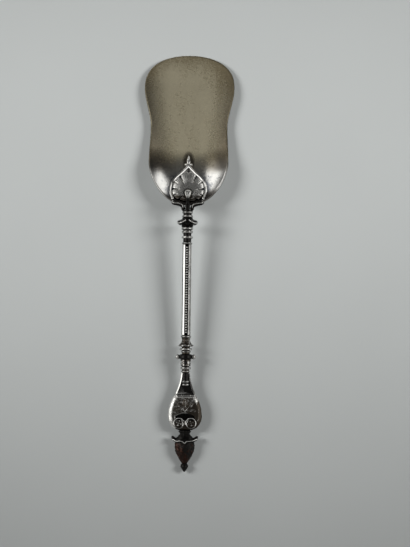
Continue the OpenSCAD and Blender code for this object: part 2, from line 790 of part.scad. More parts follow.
module bell_knop() {
    flare = [for (p = bell_shares) [mix(bell_waist_d, bell_rim_d, p[1]) / 2, bell_s + p[0] * bell_l]];
    color("dimgray")
        on_handle() {
            difference() {
                turned(concat([[0, bell_s]], flare, [
                    [bell_rim_d / 2, bell_neck_s],
                    [bell_waist_d / 2, bell_neck_s + bell_rim_t / 3],
                    [bell_waist_d / 2, lug_s],
                    [0, lug_s]
                ]));
                socket(bell_s - socket_l, 2 * socket_l);
            }
            tenon(lug_s - solder_gap, lug_collar_l + tenon_l + solder_gap);
        }
}

bell_ring_share = 0.38;
bell_bead_share = 0.7;

module bell_ring() {
    color("silver")
        on_handle() {
            wire_ring(bell_neck_s + bell_ring_share * bell_neck_l, bell_waist_d, bell_ring_d, bell_ring_w);
            wire_ring(bell_neck_s + bell_bead_share * bell_neck_l, bell_waist_d, bell_bead_d, bell_bead_w);
        }
}

lug_waist_share = 0.25;
lug_turns = [0, 180];

module lug_collar() {
    waist = lug_waist_share * lug_collar_l;
    peg_end = lug_span / 2 - lug_bead_d / 2;
    color("dimgray")
        on_handle()
            difference() {
                union() {
                    turned([
                        [0, lug_s],
                        [drum_d / 2, lug_s],
                        [lug_collar_d / 2, lug_s + waist],
                        [lug_collar_d / 2, drum_s - waist],
                        [drum_d / 2, drum_s],
                        [0, drum_s]
                    ]);
                    for (turn = lug_turns)
                        translate([0, 0, (lug_s + drum_s) / 2])
                            rotate([0, 90, turn])
                                cylinder(d = peg_d, h = peg_end);
                }
                socket(lug_s - socket_l, lug_collar_l + 2 * socket_l);
                for (turn = lug_turns)
                    lug_bead(turn, solder_gap);
            }
}

module lug_bead(turn, clear) {
    translate([0, 0, (lug_s + drum_s) / 2])
        rotate([0, 0, turn])
            translate([lug_span / 2 - lug_bead_d / 2, 0, 0])
                sphere(d = lug_bead_d + 2 * clear);
}

module lug_beads() {
    color("silver")
        on_handle()
            for (turn = lug_turns)
                lug_bead(turn, 0);
}

module drum() {
    color("dimgray")
        on_handle()
            difference() {
                union() {
                    translate([0, 0, drum_s])
                        cylinder(d = drum_d, h = drum_l);
                    translate([0, 0, drum_tail_s])
                        cylinder(d = drum_tail_d, h = drum_tail_l);
                }
                socket(drum_s - socket_l, 2 * socket_l);
                socket(column_s - socket_l, 2 * socket_l);
            }
}

// Small relief on the front of the drum: shares of the drum's length, of the bud's width and of its depth
drum_bud_shares = [[0.12, 0.25, 0.4], [0.25, 0.8, 0.9], [0.45, 1, 1], [0.65, 0.6, 0.8], [0.85, 0.2, 0.4]];

module drum_bud() {
    seat = drum_d / 2 + solder_gap;
    color("silver")
        on_handle()
            difference() {
                translate([0, 0, drum_s])
                    loft([for (p = drum_bud_shares)
                        [p[0] * drum_l, p[1] * drum_bud_w / 2, seat + p[2] * drum_bud_h, -drum_d / 4]]);
                translate([0, 0, drum_s - drum_l])
                    cylinder(r = seat, h = 3 * drum_l);
            }
}

drum_ring_share = 0.3;
thin_ring_share = 0.78;

module drum_rings() {
    color("silver")
        on_handle() {
            wire_ring(drum_tail_s + drum_ring_share * drum_tail_l, drum_tail_d, drum_ring_d, drum_ring_w);
            wire_ring(drum_tail_s + thin_ring_share * drum_tail_l, drum_tail_d, thin_ring_d, thin_ring_w);
        }
}

column_ring_shares = [0.66, 0.88];

module column_body(clear) {
    translate([0, 0, column_s])
        cylinder(d = column_d + 2 * clear, h = column_l + clear);
    for (share = column_ring_shares)
        translate([0, 0, column_s + share * column_l - column_ring_w / 2 - clear])
            cylinder(d = column_ring_d + 2 * clear, h = column_ring_w + 2 * clear);
}

module column() {
    color("silver")
        on_handle() {
            column_body(0);
            tenon(column_s - tenon_l, tenon_l + solder_gap);
        }
}

// Outline of one side of the plate: shares of its length and of its growth in width
plate_shares = [[0, 0], [0.2, 0.06], [0.4, 0.2], [0.6, 0.42], [0.8, 0.7], [1, 1]];

function plate_outline(inset) =
    let (side = [for (p = plate_shares)
        [mix(plate_root_w, plate_end_w, p[1]) / 2 - inset, plate_s + p[0] * plate_l]])
    concat(side, [for (i = [len(side) - 1:-1:0]) [-side[i][0], side[i][1]]]);

tongue_w = plate_root_w;
tongue_t = plate_t / 3;

module terminal_plate() {
    color("gray")
        on_handle() {
            difference() {
                upright(-plate_t / 2, plate_t / 2)
                    polygon(plate_outline(0));
                upright(plate_t / 2 - plate_sink, plate_t)
                    polygon([for (p = plate_outline(plate_edge_w))
                        [p[0], p[1] > plate_s ? p[1] - plate_edge_w : p[1]]]);
                column_body(solder_gap);
            }
            translate([-tongue_w / 2, -tongue_t / 2, medallion_s - solder_gap])
                cube([tongue_w, tongue_t, tenon_l + solder_gap]);
        }
}

// Outline of one side of the medallion: shares of its length and of its half width
medallion_shares = [[0, 0.58], [0.1, 0.72], [0.21, 0.83], [0.33, 0.915], [0.44, 0.972], [0.55, 1],
    [0.65, 1], [0.76, 0.955], [0.86, 0.84], [0.94, 0.66], [1, 0.4]];
medallion_steps = 2;
medallion_top_share = 0.5;
medallion_middle_share = 0.52;

// Section of the medallion: shares of its reach, of its front height and of its back height
medallion_face_share = 0.7;
medallion_section_shares = [[0.25, medallion_face_share, 1], [0.5, medallion_face_share, 0.94],
    [0.76, medallion_face_share, 0.75], [0.83, 1, 0.6], [0.93, 0.72, 0.35], [1, 0, 0]];
medallion_face_y = medallion_edge_t / 2 + medallion_face_share * medallion_rim_h;

medallion_side = [for (p = medallion_shares) [p[1] * medallion_w / 2, p[0] * medallion_l]];
medallion_right = [for (i = [0:(len(medallion_side) - 1) * medallion_steps])
    spline(medallion_side, i / medallion_steps)];
medallion_loop = concat(
    [[0, 0], [medallion_top_share * medallion_right[0][0], 0]],
    medallion_right,
    [[0, medallion_l]],
    [for (i = [len(medallion_right) - 1:-1:0]) [-medallion_right[i][0], medallion_right[i][1]]],
    [[-medallion_top_share * medallion_right[0][0], 0]]
);

module medallion_body() {
    middle = [0, medallion_middle_share * medallion_l];
    edge = medallion_edge_t / 2;
    function level(share, h, way) =
        [for (p = medallion_loop)
            let (q = mix(middle, p, share))
            [q[0], way * (edge + h), medallion_s + q[1]]];
    front = [for (p = medallion_section_shares) level(p[0], p[1] * medallion_rim_h, 1)];
    back = [for (i = [len(medallion_section_shares) - 1:-1:0])
        let (p = medallion_section_shares[i]) level(p[0], p[2] * medallion_back_h, -1)];
    crown = medallion_section_shares[0];
    skin(
        concat(front, back),
        [0, edge + crown[1] * medallion_rim_h, medallion_s + middle[1]],
        [0, -edge - crown[2] * medallion_back_h, medallion_s + middle[1]]
    );
}

// The arched hollow over the volutes: its foot, rise and half width as shares of the medallion
hollow_foot_share = 0.72;
hollow_side_share = 0.62;
hollow_top_share = 0.53;
hollow_w_share = 0.6;
hollow_steps = 10;

function medallion_s_at(share) = medallion_s + share * medallion_l;

module medallion() {
    half_w = hollow_w_share * medallion_w / 2;
    arch = [for (i = [0:hollow_steps])
        let (v = 1 - 2 * i / hollow_steps)
        [v * half_w, medallion_s_at(mix(hollow_top_share, hollow_side_share, v * v))]];
    color("rosybrown")
        on_handle()
            difference() {
                medallion_body();
                upright(medallion_face_y - hollow_d, medallion_face_y + medallion_rim_h)
                    polygon(concat(
                        [[half_w, medallion_s_at(hollow_foot_share)]],
                        arch,
                        [[-half_w, medallion_s_at(hollow_foot_share)]]
                    ));
                translate([-tongue_w / 2 - solder_gap, -tongue_t / 2 - solder_gap, medallion_s - tenon_l])
                    cube([tongue_w + 2 * solder_gap, tongue_t + 2 * solder_gap, 2 * tenon_l + solder_gap]);
                socket(leaf_neck_s - socket_l, 2 * socket_l);
            }
}

// Leaves of the relief: heading, and reach as a share of the medallion's width
relief_shares = [[90, 0.19], [40, 0.2], [140, 0.2], [-8, 0.24], [188, 0.24]];
relief_middle_share = 0.43;
relief_leaf_shares = [[0.1, 0.12, 0.5], [0.3, 0.7, 1], [0.55, 1, 1], [0.8, 0.6, 0.8], [1, 0.15, 0.4]];
relief_w_share = 0.36;
relief_back_share = 0.05;

module medallion_relief() {
    seat = medallion_face_y + solder_gap + relief_back_share * relief_t;
    color("silver")
        on_handle()
            for (leaf = relief_shares) {
                l = leaf[1] * medallion_w;
                translate([0, seat, medallion_s + relief_middle_share * medallion_l])
                    rotate([0, leaf[0] + 90, 0])
                        translate([0, 0, l / 4])
                            loft([for (p = relief_leaf_shares)
                                [p[0] * l, p[1] * l * relief_w_share / 2, p[2] * relief_t,
                                    relief_back_share * relief_t]]);
            }
}

volute_steps = 36;
volute_turns = 1.3;
volute_share = 0.81;

module medallion_volutes() {
    wire_r = volute_wire_d / 2;
    outer = volute_d / 2 - wire_r;
    depth = medallion_edge_t / 2 + medallion_rim_h + solder_gap + wire_r;
    color("silver")
        on_handle()
            for (side = [-1, 1])
                mirror([side < 0 ? 1 : 0, 0, 0])
                    translate([volute_gap / 2, depth, medallion_s + volute_share * medallion_l])
                        rotate([90, 0, 0])
                            wire(
                                [for (i = [0:volute_steps])
                                    let (t = i / volute_steps, a = 200 - 360 * volute_turns * t)
                                    let (r = mix(outer, wire_r, t))
                                    [r * cos(a), r * sin(a), 0]],
                                [for (i = [0:volute_steps]) wire_r]
                            );
}

leaf_neck_shares = [[0, 0.75, 0.8], [0.2, 0.95, 1], [0.45, 0.8, 0.85], [0.6, 0.72, 0.75], [0.8, 0.85, 0.9],
    [1, 1, 1]];

module leaf_neck() {
    color("dimgray")
        on_handle() {
            loft([for (p = leaf_neck_shares)
                [leaf_neck_s + p[0] * leaf_neck_l, p[1] * leaf_neck_w / 2, p[2] * leaf_neck_d / 2,
                    p[2] * leaf_neck_d / 2]]);
            tenon(leaf_neck_s - tenon_l, tenon_l + leaf_neck_l / 2);
            tenon(crown_s - leaf_neck_l / 2, tenon_l + leaf_neck_l / 2);
        }
}

// The crown's section, as shares of its length, width and depth
crown_shares = [[0, 0.68, 0.7], [0.25, 0.8, 0.82], [0.55, 0.95, 0.97], [0.8, 1, 1], [1, 0.97, 0.96]];

// The horn at each side: shares of its reach, of its climb and of its thickness
horn_shares = [[0.5, 0.66, 1], [0.66, 0.64, 1], [0.82, 0.56, 0.9], [0.93, 0.38, 0.85], [1, 0.15, 0.6]];

module crown_horn(side) {
    reach = crown_span / 2 - crown_lug_d / 4;
    wire(
        [for (p = horn_shares) [side * p[0] * reach, 0, crown_s + p[1] * crown_l]],
        [for (p = horn_shares) p[2] * crown_lug_d / 2]
    );
}

module crown_collar() {
    color("dimgray")
        on_handle()
            difference() {
                union() {
                    loft([for (p = crown_shares)
                        let (depth = p[2] * crown_d / 2)
                        [crown_s + p[0] * crown_l, p[1] * crown_w / 2, depth, depth]]);
                    for (side = [-1, 1])
                        crown_horn(side);
                }
                socket(crown_s - socket_l, 2 * socket_l);
            }
}

bud_shares = [[0, 0.93, 0.8], [0.08, 0.99, 0.92], [bud_full_share, 1, 1], [0.38, 0.95, 0.98],
    [0.54, 0.84, 0.88], [0.7, 0.67, 0.73], [0.85, 0.46, 0.55], [1, 0.26, 0.38]];

module bud_finial() {
    color("saddlebrown")
        difference() {
            on_handle()
                difference() {
                    loft([for (p = bud_shares)
                        [bud_s + p[0] * bud_l, p[1] * bud_w / 2, p[2] * bud_front_d, p[2] * bud_back_d]]);
                    translate([0, 0, tip_s - tip_pin_l - solder_gap])
                        cylinder(r = tip_pin_d / 2 + solder_gap, h = 2 * tip_pin_l);
                }
            translate([-bud_w, root_y - 2 * handle_l, -bud_w])
                cube([2 * bud_w, 2 * handle_l, bud_w]);
        }
}

tip_shares = [[0, 0.62], [0.15, 0.92], [0.35, 1], [0.6, 0.75], [0.85, 0.35], [0.97, 0.12]];

module bud_tip() {
    color("silver")
        on_handle() {
            loft([for (p = tip_shares)
                [tip_s + p[0] * tip_l, p[1] * tip_w / 2, p[1] * tip_w / 2, p[1] * tip_w / 2]]);
            translate([0, 0, tip_s - tip_pin_l])
                cylinder(d = tip_pin_d, h = tip_pin_l + tip_l / 2);
        }
}

bowl();
palmette_shell();
palmette_frame();
frame_bud();
calyx_drop();
scroll_arm_left();
scroll_arm_right();
neck_socket();
neck_rings();
leaf_knop();
knop_leaves();
collar_spindle();
collar_rings();
lower_cap();
stem_bar();
bead_strip_front();
bead_strip_back();
upper_cap();
bell_knop();
bell_ring();
lug_collar();
lug_beads();
drum();
drum_bud();
drum_rings();
column();
terminal_plate();
medallion();
medallion_relief();
medallion_volutes();
leaf_neck();
crown_collar();
bud_finial();
bud_tip();
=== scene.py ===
"""Silver sugar spoon of the shovel kind on a pale table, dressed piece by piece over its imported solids."""
from math import atan2, copysign, cos, exp, hypot, pi, radians, sin, sqrt

import bmesh
import bpy
from bpy.props import FloatProperty, FloatVectorProperty, PointerProperty
from mathutils import Matrix, Vector


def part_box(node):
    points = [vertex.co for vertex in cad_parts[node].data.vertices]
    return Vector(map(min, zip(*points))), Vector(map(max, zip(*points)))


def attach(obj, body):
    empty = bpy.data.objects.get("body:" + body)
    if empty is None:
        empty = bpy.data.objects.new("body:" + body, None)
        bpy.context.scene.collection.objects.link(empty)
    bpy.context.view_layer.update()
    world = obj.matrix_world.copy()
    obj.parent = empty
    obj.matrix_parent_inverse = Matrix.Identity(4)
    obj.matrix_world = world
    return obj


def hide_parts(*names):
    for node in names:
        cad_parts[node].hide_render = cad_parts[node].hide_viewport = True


bl_info = {
    "name": "Silver Sugar Spoon",
    "version": (1, 0, 0),
    "blender": (4, 5, 0),
    "location": "3D View > Sidebar > Sugar Spoon",
    "description": "Builds an antique silver sugar spoon with its castings, wires and patina",
    "category": "Add Mesh",
}

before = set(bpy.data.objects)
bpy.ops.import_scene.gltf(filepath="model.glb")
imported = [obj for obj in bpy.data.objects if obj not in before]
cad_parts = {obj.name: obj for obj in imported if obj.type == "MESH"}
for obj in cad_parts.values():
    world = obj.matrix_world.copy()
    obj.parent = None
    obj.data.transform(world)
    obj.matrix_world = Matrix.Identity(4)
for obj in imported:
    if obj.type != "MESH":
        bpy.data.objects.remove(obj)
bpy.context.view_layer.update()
bowl_low, bowl_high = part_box("bowl")

MM = 0.001
SEAM = 0.05 * MM


def length(name, description, default):
    """A size in metres, shown with the scene's length unit."""
    return FloatProperty(name=name, description=description, default=default, min=0.0, unit="LENGTH",
                         precision=5)


def turning(name, description, default):
    """An angle, shown in degrees."""
    return FloatProperty(name=name, description=description, default=default, min=0.0, subtype="ANGLE")


def colour(name, description, default):
    return FloatVectorProperty(name=name, description=description, default=default, size=3,
                               subtype="COLOR", min=0.0, max=1.0)


def share(name, description, default):
    """A share, from none to all."""
    return FloatProperty(name=name, description=description, default=default, min=0.0, max=1.0,
                         subtype="FACTOR")


class BowlSizes(bpy.types.PropertyGroup):
    """Sizes of the raised sheet bowl."""
    reach: length("Length", "Length of the bowl from its heel to its tip", bowl_high.y - bowl_low.y)
    lip_width: length("Lip width", "Greatest width of the bowl, near its tip", bowl_high.x - bowl_low.x)
    waist_width: length("Waist width", "Width of the bowl at its waist", 28.6 * MM)
    heel_width: length("Heel width", "Width of the bowl at the bulge before the heel", 29.5 * MM)
    sheet: length("Sheet", "Thickness of the silver sheet", 0.9 * MM)
    heel_rise: length("Heel rise", "Height that the heel climbs above the floor", 8.0 * MM)
    heel_run: length("Heel run", "Length over which the floor climbs to the heel", 23.5 * MM)
    heel_side: length("Heel side", "Height of the sides near the heel", 4.4 * MM)
    tip_side: length("Tip side", "Height of the sides near the tip", 0.8 * MM)
    tip_lift: length("Tip lift", "Height that the tip curls up", 0.5 * MM)
    floor_width: length("Floor width", "Width of the flat strip along the floor", 7.0 * MM)


class PalmetteSizes(bpy.types.PropertyGroup):
    """Sizes of the castings inside the heel."""
    frame_width: length("Frame width", "Width of the ogee frame between its wire centres", 13.0 * MM)
    frame_reach: length("Frame reach", "Reach of the frame's point from the heel", 16.3 * MM)
    wire: length("Frame wire", "Diameter of the frame wire", 0.9 * MM)
    shell_width: length("Shell width", "Width of the shell", 11.9 * MM)
    shell_middle: length("Shell middle", "Reach of the shell's middle from the heel", 6.2 * MM)
    shell_top: length("Shell top", "Reach of the shell above its middle", 7.9 * MM)
    shell_root: length("Shell root", "Reach of the shell below its middle", 4.9 * MM)
    shell_height: length("Shell height", "Height of the shell's crown above the heel", 1.15 * MM)
    drop_reach: length("Drop reach", "Length of the drop from the neck into the shell", 7.9 * MM)
    drop_width: length("Drop width", "Width of the drop's round end", 2.5 * MM)
    arm: length("Arm", "Diameter of the scroll arms", 1.35 * MM)
    scroll_place: length("Scroll place", "Distance of each scroll's middle from the centre line", 4.9 * MM)
    scroll_radius: length("Scroll radius", "Radius of each scroll", 0.8 * MM)


class HandleSizes(bpy.types.PropertyGroup):
    """Sizes of the collars and of the stem."""
    root_height: length("Root height", "Height of the handle's axis at the neck", 9.4 * MM)
    fall: turning("Fall", "Angle that the handle falls towards its tip", radians(4.733))
    stem_width: length("Stem width", "Width over two reeds", 3.2 * MM)
    reed: length("Reed", "Diameter of a reed", 1.1 * MM)
    bead_pitch: length("Bead pitch", "Pitch of the beads on the stem", 0.9 * MM)
    leaf_span: length("Leaf span", "Span over the tips of the knop's leaves", 7.4 * MM)
    bell_rim: length("Bell rim", "Diameter of the bell's rim", 5.4 * MM)
    lug_span: length("Lug span", "Span over the beads on the pegs", 7.4 * MM)


class TerminalSizes(bpy.types.PropertyGroup):
    """Sizes of the plate, the medallion and the bud."""
    plate_root: length("Plate root", "Width of the plate where it starts", 3.2 * MM)
    plate_end: length("Plate end", "Width of the plate at the crease", 7.0 * MM)
    plate_depth: length("Plate depth", "Thickness of the plate", 1.6 * MM)
    medallion_width: length("Medallion width", "Width of the medallion", 12.0 * MM)
    medallion_edge: length("Medallion edge", "Thickness of the medallion at its edge", 0.9 * MM)
    medallion_rim: length("Medallion rim", "Height of the bevelled rim", 0.8 * MM)
    volute: length("Volute", "Diameter of a volute", 4.0 * MM)
    volute_gap: length("Volute gap", "Distance between the middles of the volutes", 4.3 * MM)
    bud_width: length("Bud width", "Width of the bud", 7.1 * MM)


class SilverColours(bpy.types.PropertyGroup):
    """Colours of the metal and of its tarnish."""
    bright: colour("Bright silver", "Silver where hands keep it bright", (0.80, 0.79, 0.765))
    bowl: colour("Bowl silver", "Warm tarnished silver of the bowl's floor", (0.84, 0.76, 0.55))
    patina: colour("Patina", "Dark tarnish in the hollows", (0.022, 0.021, 0.020))
    brown: colour("Brown tarnish", "Brown tarnish on the medallion", (0.060, 0.050, 0.040))
    russet: colour("Russet tarnish", "Red-brown tarnish on the bud", (0.110, 0.055, 0.042))
    wear: share("Wear", "How much of the tarnish is rubbed off the high places", 0.5)


class StageSettings(bpy.types.PropertyGroup):
    """The table, the light and the camera."""
    table: colour("Table", "Colour of the table", (0.478, 0.496, 0.488))
    camera_distance: length("Camera distance", "Distance of the camera from the spoon", 0.42)
    camera_lean: turning("Camera lean", "Lean of the camera towards the handle", radians(9.0))
    camera_roll: turning("Camera roll", "Turn of the camera about its own axis", 0.0119)
    light_power: FloatProperty(name="Light power", description="Power of each window light", default=0.345,
                               min=0.0, unit="POWER")
    light_height: turning("Light height", "Angle of the window lights over the table", radians(40.0))


# Small helpers: sizes in millimetres, and smooth steps


def mm(size):
    """A size property in millimetres, the unit that every piece is shaped in."""
    return size / MM


def mix(a, b, t):
    return a + (b - a) * t


def smooth(t):
    t = min(1.0, max(0.0, t))
    return t * t * (3 - 2 * t)


def ridge(x, width):
    """1 on a line and falling softly to 0 beside it."""
    return exp(-(x / width) ** 2)


def along(points, t):
    """Point on a smooth curve through the points, t points along it."""
    last = len(points) - 1
    i = min(last - 1, int(t))
    u = t - i
    corners = (points[max(0, i - 1)], points[i], points[i + 1], points[min(last, i + 2)])
    return tuple((2 * b + (c - a) * u + (2 * a - 5 * b + 4 * c - d) * u ** 2
                  + (3 * b - a - 3 * c + d) * u ** 3) / 2 for a, b, c, d in zip(*corners))


def eased(points, steps):
    """The points again, with smooth steps between neighbours."""
    return [along(points, i / steps) for i in range((len(points) - 1) * steps + 1)]


def softened(profile, radius):
    """A profile whose inner corners are rounded as castings and turned edges are."""
    soft = [profile[0]]
    for a, b, c in zip(profile, profile[1:], profile[2:]):
        a, b, c = Vector(a), Vector(b), Vector(c)
        before = b + (a - b).normalized() * min(radius, (a - b).length / 2)
        after = b + (c - b).normalized() * min(radius, (c - b).length / 2)
        for t in (0, 0.25, 0.5, 0.75, 1):
            soft.append(before.lerp(b, t).lerp(b.lerp(after, t), t))
    return soft + [profile[-1]]


# The two places that pieces are shaped in: the bowl from its heel, and the handle along its axis

# Where each piece starts along the handle, in millimetres from the heel
STATIONS = {"knop": 4.6, "spindle": 8.1, "lower_cap": 13.6, "stem": 14.5, "upper_cap": 47.3, "bell": 48.2,
            "bell_neck": 51.2, "lugs": 54.0, "drum": 56.0, "drum_tail": 58.3, "plate": 60.7,
            "medallion": 68.2, "leaf_neck": 81.1, "crown": 83.3, "bud": 85.3, "tip": 92.9, "end": 96.0}


def stretch(first, last):
    """Where a piece starts along the handle, in millimetres from the heel, and how long it is."""
    return STATIONS[first], STATIONS[last] - STATIONS[first]


def bowl_place():
    """The bowl's place: its heel is at 0, in millimetres."""
    return Matrix.Translation((0, mm(bowl_low.y), 0))


def handle_place():
    """The handle's place: its third axis runs down the handle from the heel, and its second axis faces up."""
    handle = bpy.context.scene.spoon_handle
    root = (0, mm(bowl_low.y - SEAM), mm(handle.root_height))
    return Matrix.Translation(root) @ Matrix.Rotation(pi / 2 + handle.fall, 4, "X")


def half_width(y):
    """Half width of the bowl at a distance from its heel."""
    bowl = bpy.context.scene.spoon_bowl
    reach, lip, waist, heel = (mm(v) for v in (bowl.reach, bowl.lip_width, bowl.waist_width, bowl.heel_width))
    bulge_y, waist_y, lip_y = 0.29 * reach, 0.52 * reach, 0.78 * reach
    if y < bulge_y:
        return heel / 2 * sqrt(max(0, 1 - (1 - y / bulge_y) ** 1.75))
    if y < waist_y:
        return mix(heel, waist, smooth((y - bulge_y) / (waist_y - bulge_y))) / 2
    if y < lip_y:
        return mix(waist, lip, smooth((y - waist_y) / (lip_y - waist_y))) / 2
    return lip / 2 * max(0, 1 - ((y - lip_y) / (reach - lip_y)) ** 2.4) ** (1 / 2.2)


def inside_height(x, y):
    """Height of the bowl's inner surface."""
    bowl = bpy.context.scene.spoon_bowl
    reach = mm(bowl.reach)
    climb = mm(bowl.heel_rise) * max(0, 1 - y / mm(bowl.heel_run)) ** 2
    lift = mm(bowl.tip_lift) * max(0, (y - 0.8 * reach) / (0.2 * reach)) ** 2
    side = mix(mm(bowl.heel_side), mm(bowl.tip_side), smooth(y / reach))
    out = max(0, (2 * abs(x) - mm(bowl.floor_width)) / (mm(bowl.heel_width) - mm(bowl.floor_width)))
    return mm(bowl.sheet) + climb + lift + side * out ** 2.2


def steepness(x, y):
    """Length of the inner surface's upright normal, 1 where the surface is level."""
    step = 0.05
    across = (inside_height(x + step, y) - inside_height(x - step, y)) / (2 * step)
    down = (inside_height(x, y + step) - inside_height(x, y - step)) / (2 * step)
    return sqrt(1 + across ** 2 + down ** 2)


def outside_height(x, y):
    """Height of the bowl's underside, which is flat where it rests on the table."""
    return max(0, inside_height(x, y) - mm(bpy.context.scene.spoon_bowl.sheet) * steepness(x, y))


def on_heel(x, y, lift):
    """Point over the heel, at a distance square to its surface."""
    return Vector((x, y, inside_height(x, y) + lift * steepness(x, y)))


# How a silversmith's pieces are shaped: grown from ring to ring, drawn as wire, or turned


def neighbours(bm, ring):
    """The edges round a ring of points."""
    return [bm.edges.get(pair) for pair in zip(ring, ring[1:] + ring[:1])]


def close(bm, ring, middle):
    """Closes a ring with a fan of faces round a middle point."""
    face = bmesh.ops.contextual_create(bm, geom=neighbours(bm, ring))["faces"]
    bmesh.ops.poke(bm, faces=face)["verts"][0].co = middle


def grow(bm, rings, start, end):
    """Closed skin: a circle that is extruded from ring to ring of points."""
    ring = bmesh.ops.create_circle(bm, segments=len(rings[0]), radius=1)["verts"]
    for vert, point in zip(ring, rings[0]):
        vert.co = point
    close(bm, ring, start)
    for points in rings[1:]:
        made = set(bmesh.ops.extrude_edge_only(bm, edges=neighbours(bm, ring))["geom"])
        ring = [next(e.other_vert(v) for e in v.link_edges if e.other_vert(v) in made) for v in ring]
        for vert, point in zip(ring, points):
            vert.co = point
    close(bm, ring, end)


def wire(bm, path, radii, sides=14, slope=0.0):
    """Drawn wire along a path, with rounded ends. A slope in degrees files flats beside its crest."""
    last = len(path) - 1
    flats = [Vector((way * sin(radians(slope)), cos(radians(slope)))) for way in (-1, 1)] if slope else []
    section = [Vector((cos(2 * pi * j / sides), sin(2 * pi * j / sides))) for j in range(sides)]
    for point in section:
        for flat in flats:
            point -= flat * max(0, point.dot(flat) - 0.8)

    def ring(i, radius, shift):
        ahead = (path[min(last, i + 1)] - path[max(0, i - 1)]).normalized()
        side = ahead.cross(Vector((0, 0, 1))).normalized()
        up = side.cross(ahead)
        return [path[i] + ahead * shift + radius * (point.x * side + point.y * up) for point in section]

    ends = [radians(a) for a in (70, 45, 20)]
    rings = [ring(0, radii[0] * cos(a), -radii[0] * sin(a)) for a in ends]
    rings += [ring(i, radii[i], 0) for i in range(last + 1)]
    rings += [ring(last, radii[last] * cos(a), radii[last] * sin(a)) for a in reversed(ends)]
    first_way = (path[1] - path[0]).normalized()
    last_way = (path[last] - path[last - 1]).normalized()
    grow(bm, rings, path[0] - first_way * radii[0], path[last] + last_way * radii[last])


def turn(bm, profile, ring=False):
    """Solid turned round the handle's axis from a profile of radius and station."""
    verts = [bm.verts.new((radius, 0, station)) for radius, station in profile]
    pairs = list(zip(verts, verts[1:])) + ([(verts[-1], verts[0])] if ring else [])
    edges = [bm.edges.new(pair) for pair in pairs]
    bmesh.ops.spin(bm, geom=verts + edges, cent=(0, 0, 0), axis=(0, 0, 1), angle=2 * pi, steps=72,
                   use_merge=True)


def turned_ring(bm, station, inner, outer, width):
    """Wire ring with a flat inside and an oval outside."""
    shoulder = mix(inner, outer, 0.3)
    bow = [(shoulder + (outer - shoulder) * sin(pi * i / 12) ** 0.6, station - width / 2 * cos(pi * i / 12))
           for i in range(13)]
    turn(bm, [(inner, station - width / 2)] + bow + [(inner, station + width / 2)], ring=True)


def loft(bm, sections, sides=48, relief=None):
    """Solid along the handle from half width, front depth and back depth at stations."""
    rings = []
    for station, half, front, back in sections:
        ring = []
        for j in range(sides):
            a = 2 * pi * j / sides
            scale = 1 + (relief(a, station) if relief else 0)
            depth = front if sin(a) > 0 else back
            ring.append(Vector((scale * half * cos(a), scale * depth * sin(a), station)))
        rings.append(ring)
    grow(bm, rings, (0, 0, sections[0][0]), (0, 0, sections[-1][0]))


def block(bm, middle, sizes):
    bmesh.ops.create_cube(bm, size=1, matrix=Matrix.Translation(middle) @ Matrix.Diagonal((*sizes, 1)))


def bead(bm, middle, radius, squeeze, rings=16, segments=24):
    """Ball, squeezed along its three axes."""
    place = Matrix.Translation(middle) @ Matrix.Diagonal((*squeeze, 1))
    bmesh.ops.create_uvsphere(bm, u_segments=segments, v_segments=rings, radius=radius, matrix=place)


def set_down(bm, name, nodes, finish_name, place=None):
    """Puts a finished shape into the scene, in metres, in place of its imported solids.

    It was shaped along the handle, unless another place is given.
    """
    place = handle_place() if place is None else place
    bmesh.ops.remove_doubles(bm, verts=bm.verts, dist=1e-4)
    bmesh.ops.transform(bm, matrix=Matrix.Scale(MM, 4) @ place, verts=bm.verts)
    bmesh.ops.recalc_face_normals(bm, faces=bm.faces)
    mesh = bpy.data.meshes.new(name)
    bm.to_mesh(mesh)
    bm.free()
    mesh.shade_smooth()
    made = bpy.data.objects.new(name, mesh)
    bpy.context.scene.collection.objects.link(made)
    mesh.materials.append(finish(finish_name))
    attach(made, "root")
    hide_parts(*nodes)
    return made


def turned(name, node, profile, corner, finish_name="dark_silver"):
    """Piece turned from a profile of radius and station, with rounded corners."""
    bm = bmesh.new()
    turn(bm, softened(profile, corner))
    set_down(bm, name, [node], finish_name)


def ring_wires(name, node, low, reach, inner, rings):
    """Wire rings round a turned piece: each a share of its length, an outer radius and a width."""
    bm = bmesh.new()
    for share_of_length, outer, width in rings:
        turned_ring(bm, low + share_of_length * reach, inner, outer, width)
    set_down(bm, name, [node], "ring_silver")


def soften_edges(made, width):
    """Rounds a piece's sharp edges a little."""
    rounding = made.modifiers.new("worn_edges", "BEVEL")
    rounding.width = width
    rounding.segments = 3
    rounding.limit_method = "ANGLE"
    rounding.angle_limit = radians(50)


# Shader maths, written as sums on sockets


class Socket:
    """One output of a node. A Python sum on it adds the Math nodes."""

    def __init__(self, tree, output):
        self.tree = tree
        self.output = output

    def worked(self, operation, *values):
        return self.tree.node("ShaderNodeMath", {"operation": operation}, dict(enumerate(values)))

    def __add__(self, other):
        return self.worked("ADD", self, other)

    def __sub__(self, other):
        return self.worked("SUBTRACT", self, other)

    def __rsub__(self, other):
        return self.worked("SUBTRACT", other, self)

    def __mul__(self, other):
        return self.worked("MULTIPLY", self, other)

    def __truediv__(self, other):
        return self.worked("DIVIDE", self, other)

    def __pow__(self, other):
        return self.worked("POWER", self, other)

    __radd__ = __add__
    __rmul__ = __mul__

    def size(self):
        """The value without its sign."""
        return self.worked("ABSOLUTE", self)

    def most(self, other):
        return self.worked("MAXIMUM", self, other)

    def between(self, low, high):
        """0 below low, 1 above high, and a soft step between them."""
        return self.tree.node("ShaderNodeMapRange", {"interpolation_type": "SMOOTHSTEP"},
                              {"Value": self, "From Min": low, "From Max": high})


